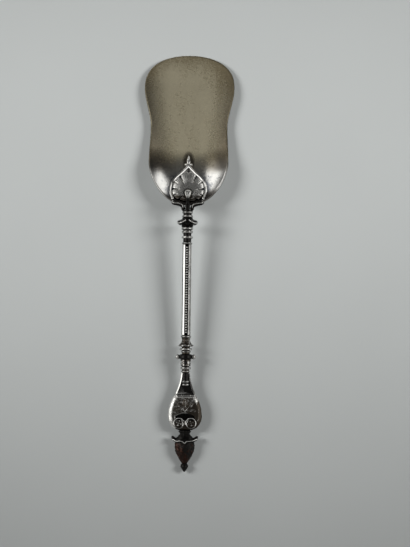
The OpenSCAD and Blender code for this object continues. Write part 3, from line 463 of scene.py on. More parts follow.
class Tree:
    """The nodes of one finish or of the surroundings."""

    def __init__(self, owner):
        owner.use_nodes = True
        self.nodes = owner.node_tree.nodes
        self.links = owner.node_tree.links
        self.nodes.clear()

    def node(self, kind, settings=None, values=None, output=0):
        """Adds a node: its settings first, then the values or links of its sockets."""
        made = self.nodes.new(kind)
        for key, value in (settings or {}).items():
            if key == "stops":
                self.place_stops(made.color_ramp, value)
            else:
                setattr(made, key, value)
        for key, value in (values or {}).items():
            if isinstance(value, Socket):
                self.links.new(value.output, made.inputs[key])
            else:
                made.inputs[key].default_value = value
        return Socket(self, made.outputs[output]) if made.outputs else made

    @staticmethod
    def place_stops(ramp, stops):
        while len(ramp.elements) < len(stops):
            ramp.elements.new(1.0)
        for element, (place, shade) in zip(ramp.elements, stops):
            element.position = place
            element.color = (*shade, 1.0)

    def blended(self, amount, first, second):
        """Colour between two colours."""
        pair = {0: amount, 6: self.solid(first), 7: self.solid(second)}
        return self.node("ShaderNodeMix", {"data_type": "RGBA"}, pair, 2)

    @staticmethod
    def solid(shade):
        return shade if isinstance(shade, Socket) else (*shade, 1.0)

    def place(self, scale=(1, 1, 1)):
        here = self.node("ShaderNodeTexCoord", output="Object")
        return self.node("ShaderNodeMapping", None, {"Vector": here, "Scale": scale})

    def mottle(self, size, detail=3.0, scale=(1, 1, 1)):
        """Cloudy value whose clouds are about size metres across."""
        spots = {"Vector": self.place(scale), "Scale": 1 / size, "Detail": detail}
        return self.node("ShaderNodeTexNoise", None, spots)

    def hollows(self, reach):
        """1 deep in a hollow and 0 in the open."""
        open_sky = self.node("ShaderNodeAmbientOcclusion", {"samples": 8}, {"Distance": reach}, "AO")
        return 1 - open_sky

    def split(self, vector, axes):
        """Parts of a vector along some of the axes."""
        return [self.node("ShaderNodeSeparateXYZ", None, {"Vector": vector}, axis) for axis in axes]

    def along(self, vector, way):
        """How far a vector reaches in a direction."""
        return self.node("ShaderNodeVectorMath", {"operation": "DOT_PRODUCT"}, {0: vector, 1: way}, "Value")

    def bump(self, height, depth, strength):
        return self.node("ShaderNodeBump", None, {"Strength": strength, "Distance": depth, "Height": height})

    def metal(self, shade, gloss, normal):
        """The finish's metal, whose colour, gloss and surface vary."""
        shader = self.node("ShaderNodeBsdfPrincipled", None, {
            "Base Color": self.solid(shade), "Metallic": 1.0, "Roughness": gloss, "Normal": normal})
        self.node("ShaderNodeOutputMaterial", None, {"Surface": shader})


def fresh_finish(name):
    made = bpy.data.materials.new(name)
    return made, Tree(made)


def worn_silver(name, shade, tarnish, cover, gloss, reach=1.2 * MM, dull=0.45, tarnish_and_shade_bands=(), slopes=0.0,
                pool=None, wear_and_glint_flecks=0.0):
    """Silver that is rubbed bright where it stands proud and tarnished in its hollows.

    cover is how much tarnish lies in the open, gloss the roughness of the rubbed metal and dull that of the
    tarnish. The bands along a direction darken the colour further: tarnish on some finishes and painted shade
    on others. slopes is how much bevels are rubbed, and pool the middle and the radius of a black spot. The
    small bright specks, set by the last value, are partly worn spots and partly painted glints.
    """
    made, tree = fresh_finish(name)
    cloud = tree.mottle(2.2 * MM)
    grain = tree.mottle(0.35 * MM, 4.0)
    sunk = tree.hollows(reach)
    proud = tree.node("ShaderNodeNewGeometry", output="Pointiness").between(0.505, 0.527)
    wear = bpy.context.scene.spoon_silver.wear
    tarnish_and_painted_light = sunk * 1.7 + (cloud - 0.5) * 0.5 + (grain - 0.5) * 0.5 + (cover - 0.25) - proud * wear
    # Bands that darken along a direction: tarnish on some finishes, painted shade on one side of others
    for way, start, end, more in tarnish_and_shade_bands:
        tarnish_and_painted_light = tarnish_and_painted_light + tree.along(tree.place(), way).between(start, end) * more
    if slopes:
        fall = bpy.context.scene.spoon_handle.fall
        facing = tree.along(tree.node("ShaderNodeNewGeometry", output="Normal"), (0, -sin(fall), cos(fall)))
        bevel = (1 - facing.between(0.93, 0.98)) * facing.between(0.3, 0.6)
        tarnish_and_painted_light = tarnish_and_painted_light - bevel * (1 - sunk.between(0.1, 0.3)) * slopes
    # Small bright specks: partly worn spots, partly painted glints that stand in for the relief's highlights
    speck = tree.mottle(0.75 * MM, 2.0).between(0.5, 0.64) * wear_and_glint_flecks
    tarnish_and_painted_light = (tarnish_and_painted_light - speck * (1 - sunk)).between(0, 1)
    black = sunk.between(0.35, 0.8) * 0.85
    if pool:
        middle, radius = pool
        spot = tree.node("ShaderNodeVectorMath", {"operation": "MULTIPLY"}, {0: tree.place(), 1: (1, 1, 0)})
        off = tree.node("ShaderNodeVectorMath", {"operation": "DISTANCE"}, {0: spot, 1: middle}, "Value")
        black = black.most(1 - off.between(radius * 0.8, radius * 1.15))
    scratches = tree.mottle(0.12 * MM, 3.0, (1, 0.12, 1))
    surface = tree.bump(grain * 0.5 + scratches * 0.35 + cloud * 1.5 + speck * 2.5, 0.035 * MM, 0.55)
    worn = tree.blended(black, tree.blended(tarnish_and_painted_light, shade, tarnish), (0.004, 0.004, 0.004))
    tree.metal(worn, tarnish_and_painted_light * (dull - gloss) + grain * 0.1 + (gloss - 0.05), surface)
    return made


def bowl_silver():
    """Satin silver: warm tarnish on its flat that deepens to the corners, fine specks and soft streaks, with
    painted shade round the bud at the frame's point, low in the heel and on the steep sides from the heel's
    middle on.
    """
    colours = bpy.context.scene.spoon_silver
    made, tree = fresh_finish("satin_bowl_silver")
    across, reach = tree.split(tree.place(), "XY")
    cloud = tree.mottle(7 * MM, 4.0, (1, 0.45, 1))
    flat = (reach + cloud * 5 * MM).between(bowl_low.y + 14 * MM, bowl_low.y + 24 * MM)
    streak = tree.mottle(1.6 * MM, 3.0, (1, 0.07, 1))
    speck = tree.mottle(0.32 * MM, 5.0)
    blot = tree.mottle(1.1 * MM, 4.0)
    sunk = tree.hollows(2.5 * MM)
    away = ((across + 1.5 * MM) / (19 * MM)) ** 2 + ((reach - bowl_low.y - 36 * MM) / (26 * MM)) ** 2
    corner = away.between(0.2, 1.3)
    tarnish = ((cloud - 0.5) * 0.8 + (streak - 0.5) * 0.3 + (speck - 0.5) * 1.1 + (blot - 0.5) * 0.5 + 0.15
               + corner * 0.95 + sunk * 0.5).between(0, 1)
    warm = tree.blended(tarnish, colours.bowl, [v * k for v, k in zip(colours.bowl, (0.5, 0.46, 0.4))])
    smudge = (blot * 1.3 + cloud - 1.15 + sunk * 1.2).between(0, 0.5)
    cool = tree.blended(smudge, [v * 0.8 for v in colours.bright],
                        [v * k for v, k in zip(colours.bright, (0.26, 0.28, 0.33))])
    # Painted shade round the bud at the frame's point and low in the heel, blended to brown
    aside = ((across / (2.4 * MM)) ** 2 + ((reach - bowl_low.y - 18.2 * MM) / (4.2 * MM)) ** 2
             + (blot - 0.5) * 0.6)
    below = (reach + blot * 2 * MM - across * 0.12).between(bowl_low.y + 4.9 * MM, bowl_low.y + 7.4 * MM)
    painted_heel_shade = (1 - aside.between(0.35, 1.1)).most(1 - below)
    scratches = tree.mottle(0.15 * MM, 3.0, (1, 0.06, 1))
    surface = tree.bump(speck * 0.6 + scratches * 0.5 + cloud * 2, 0.04 * MM, 0.5)
    upright = tree.node("ShaderNodeNewGeometry", output="Normal")
    sideways, level = tree.split(upright, "XZ")
    steep = sideways.size().between(0.06, 0.4)
    # Painted shade that darkens the steep sides from the heel's middle on
    painted_side_shade = steep * (reach - cloud * 3 * MM).between(bowl_low.y + 11 * MM, bowl_low.y + 14.5 * MM) * 0.8
    rim = (1 - level.between(0.45, 0.72)) * level.between(-0.6, -0.3)
    dark = (rim * (speck * 0.4 + 0.65)).most(painted_heel_shade * 0.85).most(painted_side_shade)
    shade = tree.blended(dark, tree.blended(flat, cool, warm), colours.brown)
    gloss = flat * 0.13 + speck * 0.06 + tarnish * 0.04 + smudge * 0.08 + rim * 0.15 + 0.08
    tree.metal(shade, gloss, surface)
    return made


def tarnish_and_shade_band(way, start, end, more):
    """Darkening that sets in between two distances along a direction, in millimetres from the heel's middle:
    tarnish on some finishes, painted shade on others.
    """
    heel = way[1] * bowl_low.y
    return way, heel + start * MM, heel + end * MM, more


FINISHES = {
    # On the stem the right reed and the left reed's outer flank are darkened: painted shade
    "rubbed_silver": dict(light=1.0, cover=0.1, gloss=0.16,
                          tarnish_and_shade_bands=(tarnish_and_shade_band((1, 0, 0), 0.1, 0.6, 0.95), tarnish_and_shade_band((-1, 0, 0), 1.05, 1.4, 0.95))),
    "thin_silver": dict(light=0.95, cover=0.05, gloss=0.17, reach=0.3 * MM, dull=0.4),
    # The frame wire darkens towards its point: painted shade
    "wire_silver": dict(light=1.0, cover=0.0, gloss=0.08, reach=0.4 * MM, dull=0.4,
                        tarnish_and_shade_bands=(tarnish_and_shade_band((0, 1, 0), 9, 12, 0.72),)),
    "shell_silver": dict(light=1.1, tarnish="brown", cover=0.05, gloss=0.24, reach=0.8 * MM, dull=0.36,
                         tarnish_and_shade_bands=(tarnish_and_shade_band((0, -1, 0), -5.4, -2.9, 1.3),),
                         pool=((0, bowl_low.y + 5.1 * MM, 0), 1.75 * MM)),
    "drop_silver": dict(light=1.1, cover=0.15, gloss=0.06, reach=0.3 * MM, dull=0.4,
                        tarnish_and_shade_bands=(tarnish_and_shade_band((0, -1, 0), -4, -2, 1.5),)),
    "bead_silver": dict(light=0.9, cover=0.4, gloss=0.2, reach=0.5 * MM, dull=0.4),
    "ring_silver": dict(light=1.0, cover=1.15, gloss=0.1, reach=0.8 * MM, dull=0.3),
    "dark_silver": dict(light=0.7, cover=1.85, gloss=0.16, reach=0.8 * MM, dull=0.3),
    "brown_silver": dict(light=0.8, tarnish="brown", cover=1.5, gloss=0.2, reach=0.8 * MM, dull=0.35,
                         wear_and_glint_flecks=0.65),
    # The plate's right side is darkened: painted shade
    "plate_silver": dict(light=0.9, cover=1.05, gloss=0.2, dull=0.35, slopes=0.85,
                         tarnish_and_shade_bands=(tarnish_and_shade_band((1, 0, 0), -1, 1.5, 1.15),)),
    # The medallion darkens to its right and towards the bud: painted shade
    "medallion_silver": dict(light=0.9, tarnish="brown", cover=1.05, gloss=0.2, dull=0.35, slopes=1.0,
                             wear_and_glint_flecks=0.5, tarnish_and_shade_bands=(tarnish_and_shade_band((1, -0.8, 0), 60.2, 62, 1.7),)),
    # The volutes darken on their halves towards the bud: painted shade
    "volute_silver": dict(light=0.95, cover=0.05, gloss=0.17, reach=0.3 * MM, dull=0.4,
                          tarnish_and_shade_bands=(tarnish_and_shade_band((0, -1, 0), 77.8, 80.5, 1.4),)),
    # The bud darkens to its right and towards the bowl: painted shade
    "bud_silver": dict(shade="russet", light=0.45, cover=0.8, wear_and_glint_flecks=0.9, gloss=0.25, reach=1.0 * MM,
                       tarnish_and_shade_bands=(tarnish_and_shade_band((1, 0.6, 0), -54.2, -52.2, 0.8),)),
}


def finish(name):
    """One of the spoon's finishes, made when it is first asked for."""
    made = bpy.data.materials.get(name)
    if made:
        return made
    if name == "satin_bowl_silver":
        return bowl_silver()
    colours = bpy.context.scene.spoon_silver
    facts = {"shade": "bright", "tarnish": "patina", **FINISHES[name]}
    light = facts.pop("light")
    facts["shade"] = [v * light for v in getattr(colours, facts["shade"])]
    facts["tarnish"] = getattr(colours, facts["tarnish"])
    return worn_silver(name, **facts)


class SPOON_OT_bowl(bpy.types.Operator):
    """Raise the sheet bowl, with its steep heel and its rounded rim."""
    bl_idname = "spoon.bowl"
    bl_label = "Bowl"

    def execute(self, context):
        bowl = context.scene.spoon_bowl
        reach, sheet = mm(bowl.reach), mm(bowl.sheet)
        middle = Vector((0, reach / 2))
        edge = []
        for j in range(240):
            a = 2 * pi * j / 240
            y = reach / 2 * (1 - cos(a))
            edge.append(Vector(((1 if sin(a) > 0 else -1) * half_width(y), y)))
        inner = [p - (p - middle).normalized() * sheet / 2 for p in edge]
        shares = [(i / 44) ** 0.8 for i in range(1, 45)]

        def level(part, height):
            return [Vector((*q, height(*q))) for q in (middle.lerp(p, part) for p in inner)]

        rim = []
        for i in range(1, 8):
            a = pi * i / 8
            ring = []
            for p, q in zip(inner, edge):
                high, low = inside_height(*p), outside_height(*p)
                out = p + (q - p) * sin(a)
                ring.append(Vector((*out, (high + low) / 2 + (high - low) / 2 * cos(a))))
            rim.append(ring)
        top = [level(s, inside_height) for s in shares]
        under = [level(s, outside_height) for s in reversed(shares)]
        bm = bmesh.new()
        grow(bm, top + rim + under, (*middle, inside_height(*middle)), (*middle, 0))
        set_down(bm, "raised_bowl", ["bowl"], "satin_bowl_silver", bowl_place())
        return {"FINISHED"}


# In millimetres: the gap in place of solder under each casting, the height of the shell's edge, the half
# width of the neck's web and the radius of the neck
CASTING_GAP = 0.1
SHELL_EDGE = 0.28
WEB_HALF = 0.85
NECK_RADIUS = 1.95


def lobe_place(a):
    """Where an angle falls between the shell's notches: -1 and 1 in a notch, 0 along a lobe's middle."""
    from_top = degrees_from_top(a)
    if from_top > 145:
        return 0.0
    place = from_top / 56
    return 2 * (place - round(place))


def degrees_from_top(a):
    """How far an angle lies from the shell's top, either way round."""
    return abs((a * 180 / pi - 90 + 180) % 360 - 180)


def shell_reach(a):
    """How far the shell's oval reaches from its middle at an angle."""
    palmette = bpy.context.scene.spoon_palmette
    tall = palmette.shell_top if sin(a) > 0 else palmette.shell_root
    return 1 / hypot(cos(a) * 2 / mm(palmette.shell_width), sin(a) / mm(tall))


def shell_lift(f, a):
    """Height of the shell over the heel at a share of its reach: crowned lobes with thin notches between."""
    full = mm(bpy.context.scene.spoon_palmette.shell_height)
    across = abs(lobe_place(a))
    crown = sqrt(max(0, 1 - f ** 2.6))
    groove = ridge(1 - across, 0.075) * smooth((f - 0.55) / 0.25)
    swell = (1 - across ** 2) * smooth((f - 0.2) / 0.5) * 0.15
    cleft = 0.8 * ridge(across, 0.07) * smooth((f - 0.78) / 0.12) * smooth((degrees_from_top(a) - 20) / 10)
    rays = 0.02 * cos(9 * pi * across) * smooth((f - 0.3) / 0.3)
    relief = max(0.05, 1 + swell + rays - 1.05 * groove - cleft) / 1.15
    return CASTING_GAP + SHELL_EDGE + (full - SHELL_EDGE) * crown * relief


def shell_point(f, a, lift):
    """Point over the heel at a share of the shell's reach, drawn in at the notches."""
    across = abs(lobe_place(a))
    notch = 0.3 * ridge(1 - across, 0.09) + 0.08 * ridge(across, 0.07) + 0.05 * across ** 3
    r = f * shell_reach(a) * (1 - notch * f ** 3)
    return on_heel(r * cos(a), mm(bpy.context.scene.spoon_palmette.shell_middle) + r * sin(a), lift)


class SPOON_OT_shell(bpy.types.Operator):
    """Cast the five-lobed shell that fills the frame inside the heel."""
    bl_idname = "spoon.shell"
    bl_label = "Palmette shell"

    def execute(self, context):
        turns = [2 * pi * j / 420 - pi / 2 for j in range(420)]
        reaches = [sin(pi / 2 * i / 30) for i in range(1, 31)]
        top = [[shell_point(f, a, shell_lift(f, a)) for a in turns] for f in reaches]
        under = [[shell_point(f, a, CASTING_GAP) for a in turns] for f in (1, 0.8, 0.4)]
        bm = bmesh.new()
        grow(bm, top + under, shell_point(0, 0, shell_lift(0, 0)), shell_point(0, 0, CASTING_GAP))
        set_down(bm, "shell_casting", ["palmette_shell"], "shell_silver", bowl_place())
        return {"FINISHED"}


FRAME_SIDE = ((0.86, 0.165), (0.99, 0.32), (1, 0.455), (0.905, 0.59), (0.69, 0.71), (0.4, 0.825),
              (0.17, 0.925), (0, 1))


class SPOON_OT_frame(bpy.types.Operator):
    """Bend the ogee wire round the shell, and set the bud and its beads on its point."""
    bl_idname = "spoon.frame"
    bl_label = "Palmette frame"

    def execute(self, context):
        palmette = context.scene.spoon_palmette
        half, reach, thick = mm(palmette.frame_width) / 2, mm(palmette.frame_reach), mm(palmette.wire)
        right = eased([(x * half, y * reach) for x, y in FRAME_SIDE], 10)
        bend = right + [(-x, y) for x, y in reversed(right[:-1])]
        path = [on_heel(x, y, CASTING_GAP + thick / 2) for x, y in bend]
        bm = bmesh.new()
        wire(bm, path, [thick / 2] * len(path), 24, 20)
        set_down(bm, "ogee_wire", ["palmette_frame"], "wire_silver", bowl_place())

        bm = bmesh.new()
        start, bud_reach, bud_half = reach + thick / 2 + CASTING_GAP, 3.8, 0.75
        shares = ((0, 0.5, 0.6), (0.06, 0.72, 0.8), (0.2, 0.92, 0.95), (0.4, 1, 1), (0.6, 0.82, 0.88),
                  (0.78, 0.55, 0.62), (0.92, 0.3, 0.4), (1, 0.12, 0.2))
        stations = [(start + s * bud_reach, w * bud_half, h * bud_half) for s, w, h in eased(shares, 3)]
        applied_loft(bm, stations)
        for side in (-1, 1):
            bead(bm, on_heel(side * 0.9, start - 0.05, CASTING_GAP + 0.5), 0.5, (1.1, 1, 1))
        set_down(bm, "frame_bud_casting", ["frame_bud"], "bead_silver", bowl_place())
        return {"FINISHED"}


def applied_loft(bm, stations, under=inside_height, split=0.0):
    """Solid that stands on the heel or on a casting over it, from stations of reach, half width and height.

    split is the depth of a groove along its crest.
    """
    def rib(y, half, height):
        points = []
        for j in range(25):
            a = pi * j / 24
            x = half * cos(a)
            rise = height * sin(a) ** 0.8 * (1 - split * ridge(cos(a), 0.3))
            points.append(Vector((x, y, under(x, y) + CASTING_GAP + rise)))
        for j in range(1, 12):
            x = half * (2 * j / 12 - 1)
            points.append(Vector((x, y, under(x, y) + CASTING_GAP)))
        return points

    rings = [rib(*station) for station in stations]
    ends = [(ring[12] + ring[30]) / 2 for ring in (rings[0], rings[-1])]
    grow(bm, rings, *ends)


def over_shell(x, y):
    """Height over the shell, or over the heel beside it."""
    middle = mm(bpy.context.scene.spoon_palmette.shell_middle)
    a = atan2(y - middle, x)
    f = min(1.0, hypot(x, y - middle) / shell_reach(a))
    full = mm(bpy.context.scene.spoon_palmette.shell_height)
    crown = (full - SHELL_EDGE) * sqrt(max(0, 1 - f ** 2.6)) * 0.9
    return on_heel(x, y, CASTING_GAP + SHELL_EDGE + crown).z


class SPOON_OT_drop(bpy.types.Operator):
    """Cast the split drop that runs from the neck into the shell."""
    bl_idname = "spoon.drop"
    bl_label = "Calyx drop"

    def execute(self, context):
        palmette = context.scene.spoon_palmette
        reach, half = mm(palmette.drop_reach), mm(palmette.drop_width) / 2
        root = mm(context.scene.spoon_handle.root_height) + NECK_RADIUS - over_shell(0, 0) - 0.2
        shares = ((0, 0.66, 1), (0.2, 0.52, 1), (0.45, 0.56, 1), (0.68, 0.86, 1), (0.83, 1, 0.95),
                  (0.93, 0.84, 0.8), (0.985, 0.5, 0.5), (1, 0.2, 0.25))
        stations = [(s * reach * 0.8, w * half, h * mix(root, 0.9, smooth(s / 0.7)))
                    for s, w, h in eased(shares, 5)]
        bm = bmesh.new()
        applied_loft(bm, stations, over_shell, 0.34)
        set_down(bm, "split_drop", ["calyx_drop"], "drop_silver", bowl_place())
        return {"FINISHED"}


ARM_LEAD = ((0, 0), (0.02, 0.3), (0.12, 0.56), (0.33, 0.77), (0.64, 0.91), (1, 1))


def scroll_arm(side, name, node):
    """Arm from the neck's flank out over the rim, that curls towards the bowl and ends in a small eye."""
    palmette = bpy.context.scene.spoon_palmette
    thick, place, curl = mm(palmette.arm) / 2, mm(palmette.scroll_place), mm(palmette.scroll_radius)
    thin = thick * 0.45
    middle = Vector((place, curl + thin))
    start = (WEB_HALF + 0.05 + thick, -2.05 + thick / 2)
    first = radians(265)
    meet = (middle.x + curl * cos(first), middle.y + curl * sin(first))
    flat = eased([(mix(start[0], meet[0], p), mix(start[1], meet[1], q)) for p, q in ARM_LEAD], 5)[:-1]
    for i in range(31):
        t = i / 30
        a = first + radians(290) * t
        flat.append((middle.x + curl * (1 - 0.55 * t) * cos(a), middle.y + curl * (1 - 0.55 * t) * sin(a)))
    last = len(flat) - 1
    path = []
    for x, y in flat:
        point = on_heel(x, max(y, 0), CASTING_GAP + thick)
        point.y += min(y, 0)
        path.append(Vector((side * point.x, point.y, point.z)))
    radii = [mix(thick, thin, smooth(2 * i / last - 0.5)) for i in range(last + 1)]
    bm = bmesh.new()
    wire(bm, path, radii)
    set_down(bm, name, [node], "dark_silver", bowl_place())
    # A thin bright wire along each arm's upper edge: a painted highlight
    bm = bmesh.new()
    crest = [point + Vector((0, 0.4, 0.85)) * radius for point, radius in zip(path, radii)][3:40]
    wire(bm, crest, [0.17] * len(crest), 10)
    set_down(bm, name + "_edge", [node], "bead_silver", bowl_place())


class SPOON_OT_arms(bpy.types.Operator):
    """Bend the two scroll arms that run from the neck to the rim."""
    bl_idname = "spoon.arms"
    bl_label = "Scroll arms"

    def execute(self, context):
        scroll_arm(-1, "left_arm", "scroll_arm_left")
        scroll_arm(1, "right_arm", "scroll_arm_right")
        return {"FINISHED"}


class SPOON_OT_neck(bpy.types.Operator):
    """Turn the neck and its two rings, with the web that is soldered to the heel."""
    bl_idname = "spoon.neck"
    bl_label = "Neck"

    def execute(self, context):
        bm = bmesh.new()
        stations = eased([(0,), (0.8,), (1.6,), (2.2,)], 3)
        loft(bm, [(station, WEB_HALF, NECK_RADIUS, NECK_RADIUS) for station, in stations], relief=web_relief)
        foot = STATIONS["knop"]
        turn(bm, softened([(0, 2.1), (NECK_RADIUS, 2.1), (NECK_RADIUS, 2.3), (1.55, 2.5), (1.55, foot),
                           (0, foot)], 0.12))
        set_down(bm, "neck_casting", ["neck_socket"], "dark_silver")
        ring_wires("neck_ring_wires", "neck_rings", 0, foot, 1.6, ((0.61, 1.925, 0.7), (0.92, 1.925, 0.7)))
        return {"FINISHED"}


def web_relief(a, station):
    """The web is squarer than an oval."""
    return 0.18 * abs(sin(2 * a)) ** 1.5


LEAF_SECTION = ((0, 0.03), (0.1, 0.04), (0.2, 0.2), (0.44, 0.3), (0.74, 0.36), (0.93, 0.44), (1, 0.56),
                (0.95, 0.7), (0.8, 0.8), (0.6, 0.8), (0.42, 0.84), (0.28, 0.92), (0.2, 1), (0, 1))


# Half the turn that a leaf takes up, and the radius of the core that it springs from
LEAF_TURN = radians(76)
LEAF_ROOT = 1.65


def leaf_reach(v):
    """How far out a leaf stands, as a share of its reach."""
    return mix(0.16, 1, sqrt(max(0, 1 - v * v)))


def leaf_drop(v):
    """How far down a leaf hangs, from -1 at one side to 1 at the other."""
    return 0.86 + 0.22 * sin(pi * abs(v)) - 0.4 * v ** 4


class SPOON_OT_knop(bpy.types.Operator):
    """Turn the knop's core and curl its two side leaves outwards."""
    bl_idname = "spoon.knop"
    bl_label = "Leaf knop"

    def execute(self, context):
        top, foot = STATIONS["knop"], STATIONS["spindle"]
        turned("knop_core", "leaf_knop", [(0, top), (1.55, top), (1.6, top + 0.5), (1.6, foot - 0.7),
                                          (2.15, foot - 0.25), (2.15, foot), (0, foot)], 0.15)
        bm = bmesh.new()
        reach = mm(context.scene.spoon_handle.leaf_span) / 2 - LEAF_ROOT
        drop = foot - top - 0.4
        section = eased(LEAF_SECTION, 3)
        for heading in (0, pi):
            rings = []
            for i in range(49):
                v = i / 24 - 1
                a = heading + v * LEAF_TURN
                out = leaf_reach(v) * (1 - 0.05 * ridge(v, 0.1))
                down = leaf_drop(v)
                ring = []
                for p, q in section:
                    r = LEAF_ROOT + p * out * reach
                    ring.append(Vector((r * cos(a), r * sin(a), top + 0.05 + q * down * drop)))
                rings.append(ring)
            ends = [sum(ring, Vector()) / len(ring) for ring in (rings[0], rings[-1])]
            grow(bm, rings, *ends)
        set_down(bm, "curled_leaves", ["knop_leaves"], "dark_silver")
        bm = bmesh.new()
        for heading in (0, pi):
            path = []
            for i in range(61):
                v = 0.97 * (i / 30 - 1)
                a = heading + v * LEAF_TURN
                out = LEAF_ROOT + leaf_reach(v) * reach - 0.08
                path.append(Vector((out * cos(a), out * sin(a), top + 0.05 + 0.66 * leaf_drop(v) * drop)))
            wire(bm, path, [0.2] * 61, 12)
        set_down(bm, "leaf_edges", ["knop_leaves"], "thin_silver")
        return {"FINISHED"}


class SPOON_OT_lower_collar(bpy.types.Operator):
    """Turn the spindle between the knop and the stem, its three rings and its cap."""
    bl_idname = "spoon.lower_collar"
    bl_label = "Lower collar"

    def execute(self, context):
        low, reach = stretch("spindle", "lower_cap")
        foot = low + reach
        turned("spindle", "collar_spindle", [(0, low), (1.475, low), (1.475, foot), (0, foot)], 0.1)
        ring_wires("spindle_rings", "collar_rings", low, reach, 1.525,
                   ((0.11, 2.125, 0.85), (0.33, 2.0, 0.95), (0.69, 2.05, 0.8)))
        stem_cap("lower_flange", "lower_cap", foot)
        return {"FINISHED"}


def stem_cap(name, node, station):
    """Flange that closes one end of the stem."""
    turned(name, node, [(0, station), (1.55, station), (1.85, station + 0.3), (1.85, station + 0.6),
                        (1.55, station + 0.9), (0, station + 0.9)], 0.14, "ring_silver")


def reed_rod(bm, x, y, radius, low, high):
    """Round rod along the handle, drawn flat on its two outer slopes, with slightly worn ends."""
    sides, soft = 64, radius * 0.25
    slopes = [(Vector((copysign(sin(radians(a)), x), copysign(cos(radians(a)), y))), kept)
              for a, kept in ((27, 0.7), (50, 0.64))]
    rings = []
    for station, r in ((low, radius - soft), (low + soft, radius), (low + 2 * soft, radius),
                       (high - 2 * soft, radius), (high - soft, radius), (high, radius - soft)):
        ring = []
        for j in range(sides):
            point = r * Vector((cos(2 * pi * j / sides), sin(2 * pi * j / sides)))
            for slope, kept in slopes:
                point -= slope * max(0, point.dot(slope) - kept * r)
            ring.append(Vector((x + point.x, y + point.y, station)))
        rings.append(ring)
    grow(bm, rings, (x, y, low), (x, y, high))


class SPOON_OT_stem(bpy.types.Operator):
    """Draw the four reeds of the stem and lay a beaded strip between the front and the back pair."""
    bl_idname = "spoon.stem"
    bl_label = "Stem"

    def execute(self, context):
        handle = context.scene.spoon_handle
        low, high = STATIONS["stem"], STATIONS["upper_cap"]
        reed = mm(handle.reed) / 2
        off = mm(handle.stem_width) / 2 - reed
        core = 0.9 * off
        middle = (low + high) / 2
        bm = bmesh.new()
        block(bm, (0, 0, middle), (2 * core, 2 * core, high - low))
        for x in (-off, off):
            for y in (-off, off):
                reed_rod(bm, x, y, reed, low, high)
        stem = set_down(bm, "reeded_stem", ["stem_bar"], "rubbed_silver")
        soften_edges(stem, 0.1 * MM)
        pitch = mm(handle.bead_pitch)
        count = int((high - low - 0.5) / pitch)
        first = middle - (count - 1) * pitch / 2
        half = off - reed - 0.05
        for face, way in (("front", 1), ("back", -1)):
            name, nodes = f"{face}_bead_strip", [f"bead_strip_{face}"]
            bm = bmesh.new()
            block(bm, (0, way * (core + 0.2), middle), (2 * half, 0.3, high - low))
            set_down(bm, name + "_bed", nodes, "dark_silver")
            bm = bmesh.new()
            for i in range(count):
                bead(bm, (0, way * (core + 0.3), first + i * pitch), 0.4, (half / 0.4, 1, 0.82), 8, 12)
            set_down(bm, name, nodes, "bead_silver")
        stem_cap("upper_flange", "upper_cap", high)
        return {"FINISHED"}


BELL = ((0, 0.12), (0.12, 0), (0.3, 0.02), (0.48, 0.14), (0.64, 0.38), (0.78, 0.7), (0.88, 1))


class SPOON_OT_bell(bpy.types.Operator):
    """Turn the bell knop and the ring on its neck."""
    bl_idname = "spoon.bell"
    bl_label = "Bell knop"

    def execute(self, context):
        rim = mm(context.scene.spoon_handle.bell_rim) / 2
        low, reach = stretch("bell", "bell_neck")
        neck, neck_reach = stretch("bell_neck", "lugs")
        flare = [(mix(1.45, rim, p[1]), low + p[0] * reach) for p in eased(BELL, 5)]
        foot = [(rim, low + 0.88 * reach), (rim, neck), (1.6, neck + 0.12), (1.45, neck + 0.3),
                (1.45, neck + neck_reach), (0, neck + neck_reach)]
        bm = bmesh.new()
        turn(bm, [(0, low)] + flare + softened(foot, 0.1)[1:])
        set_down(bm, "turned_bell", ["bell_knop"], "brown_silver")
        ring_wires("bell_ring_wire", "bell_ring", neck, neck_reach, 1.5, ((0.38, 2.25, 0.8), (0.7, 1.8, 0.5)))
        return {"FINISHED"}


class SPOON_OT_lug_collar(bpy.types.Operator):
    """Turn the collar and set its two pegs and their beads."""
    bl_idname = "spoon.lug_collar"
    bl_label = "Lug collar"

    def execute(self, context):
        span = mm(context.scene.spoon_handle.lug_span)
        low, high = STATIONS["lugs"], STATIONS["drum"]
        middle, place = (low + high) / 2, span / 2 - 0.9
        bm = bmesh.new()
        turn(bm, softened([(0, low), (1.95, low), (2.35, low + 0.5), (2.35, high - 0.5), (1.95, high),
                           (0, high)], 0.2))
        for way in (-1, 1):
            path = [Vector((way * x, 0.001, middle)) for x in (0.4, 1.2, 1.9, place - 0.8)]
            wire(bm, path, [0.8, 0.78, 0.75, 0.72], sides=20)
        set_down(bm, "pegged_collar", ["lug_collar"], "dark_silver")
        bm = bmesh.new()
        for way in (-1, 1):
            bead(bm, (way * place, 0, middle), 0.9, (1, 1, 1), 20, 28)
        set_down(bm, "peg_beads", ["lug_beads"], "ring_silver")
        return {"FINISHED"}


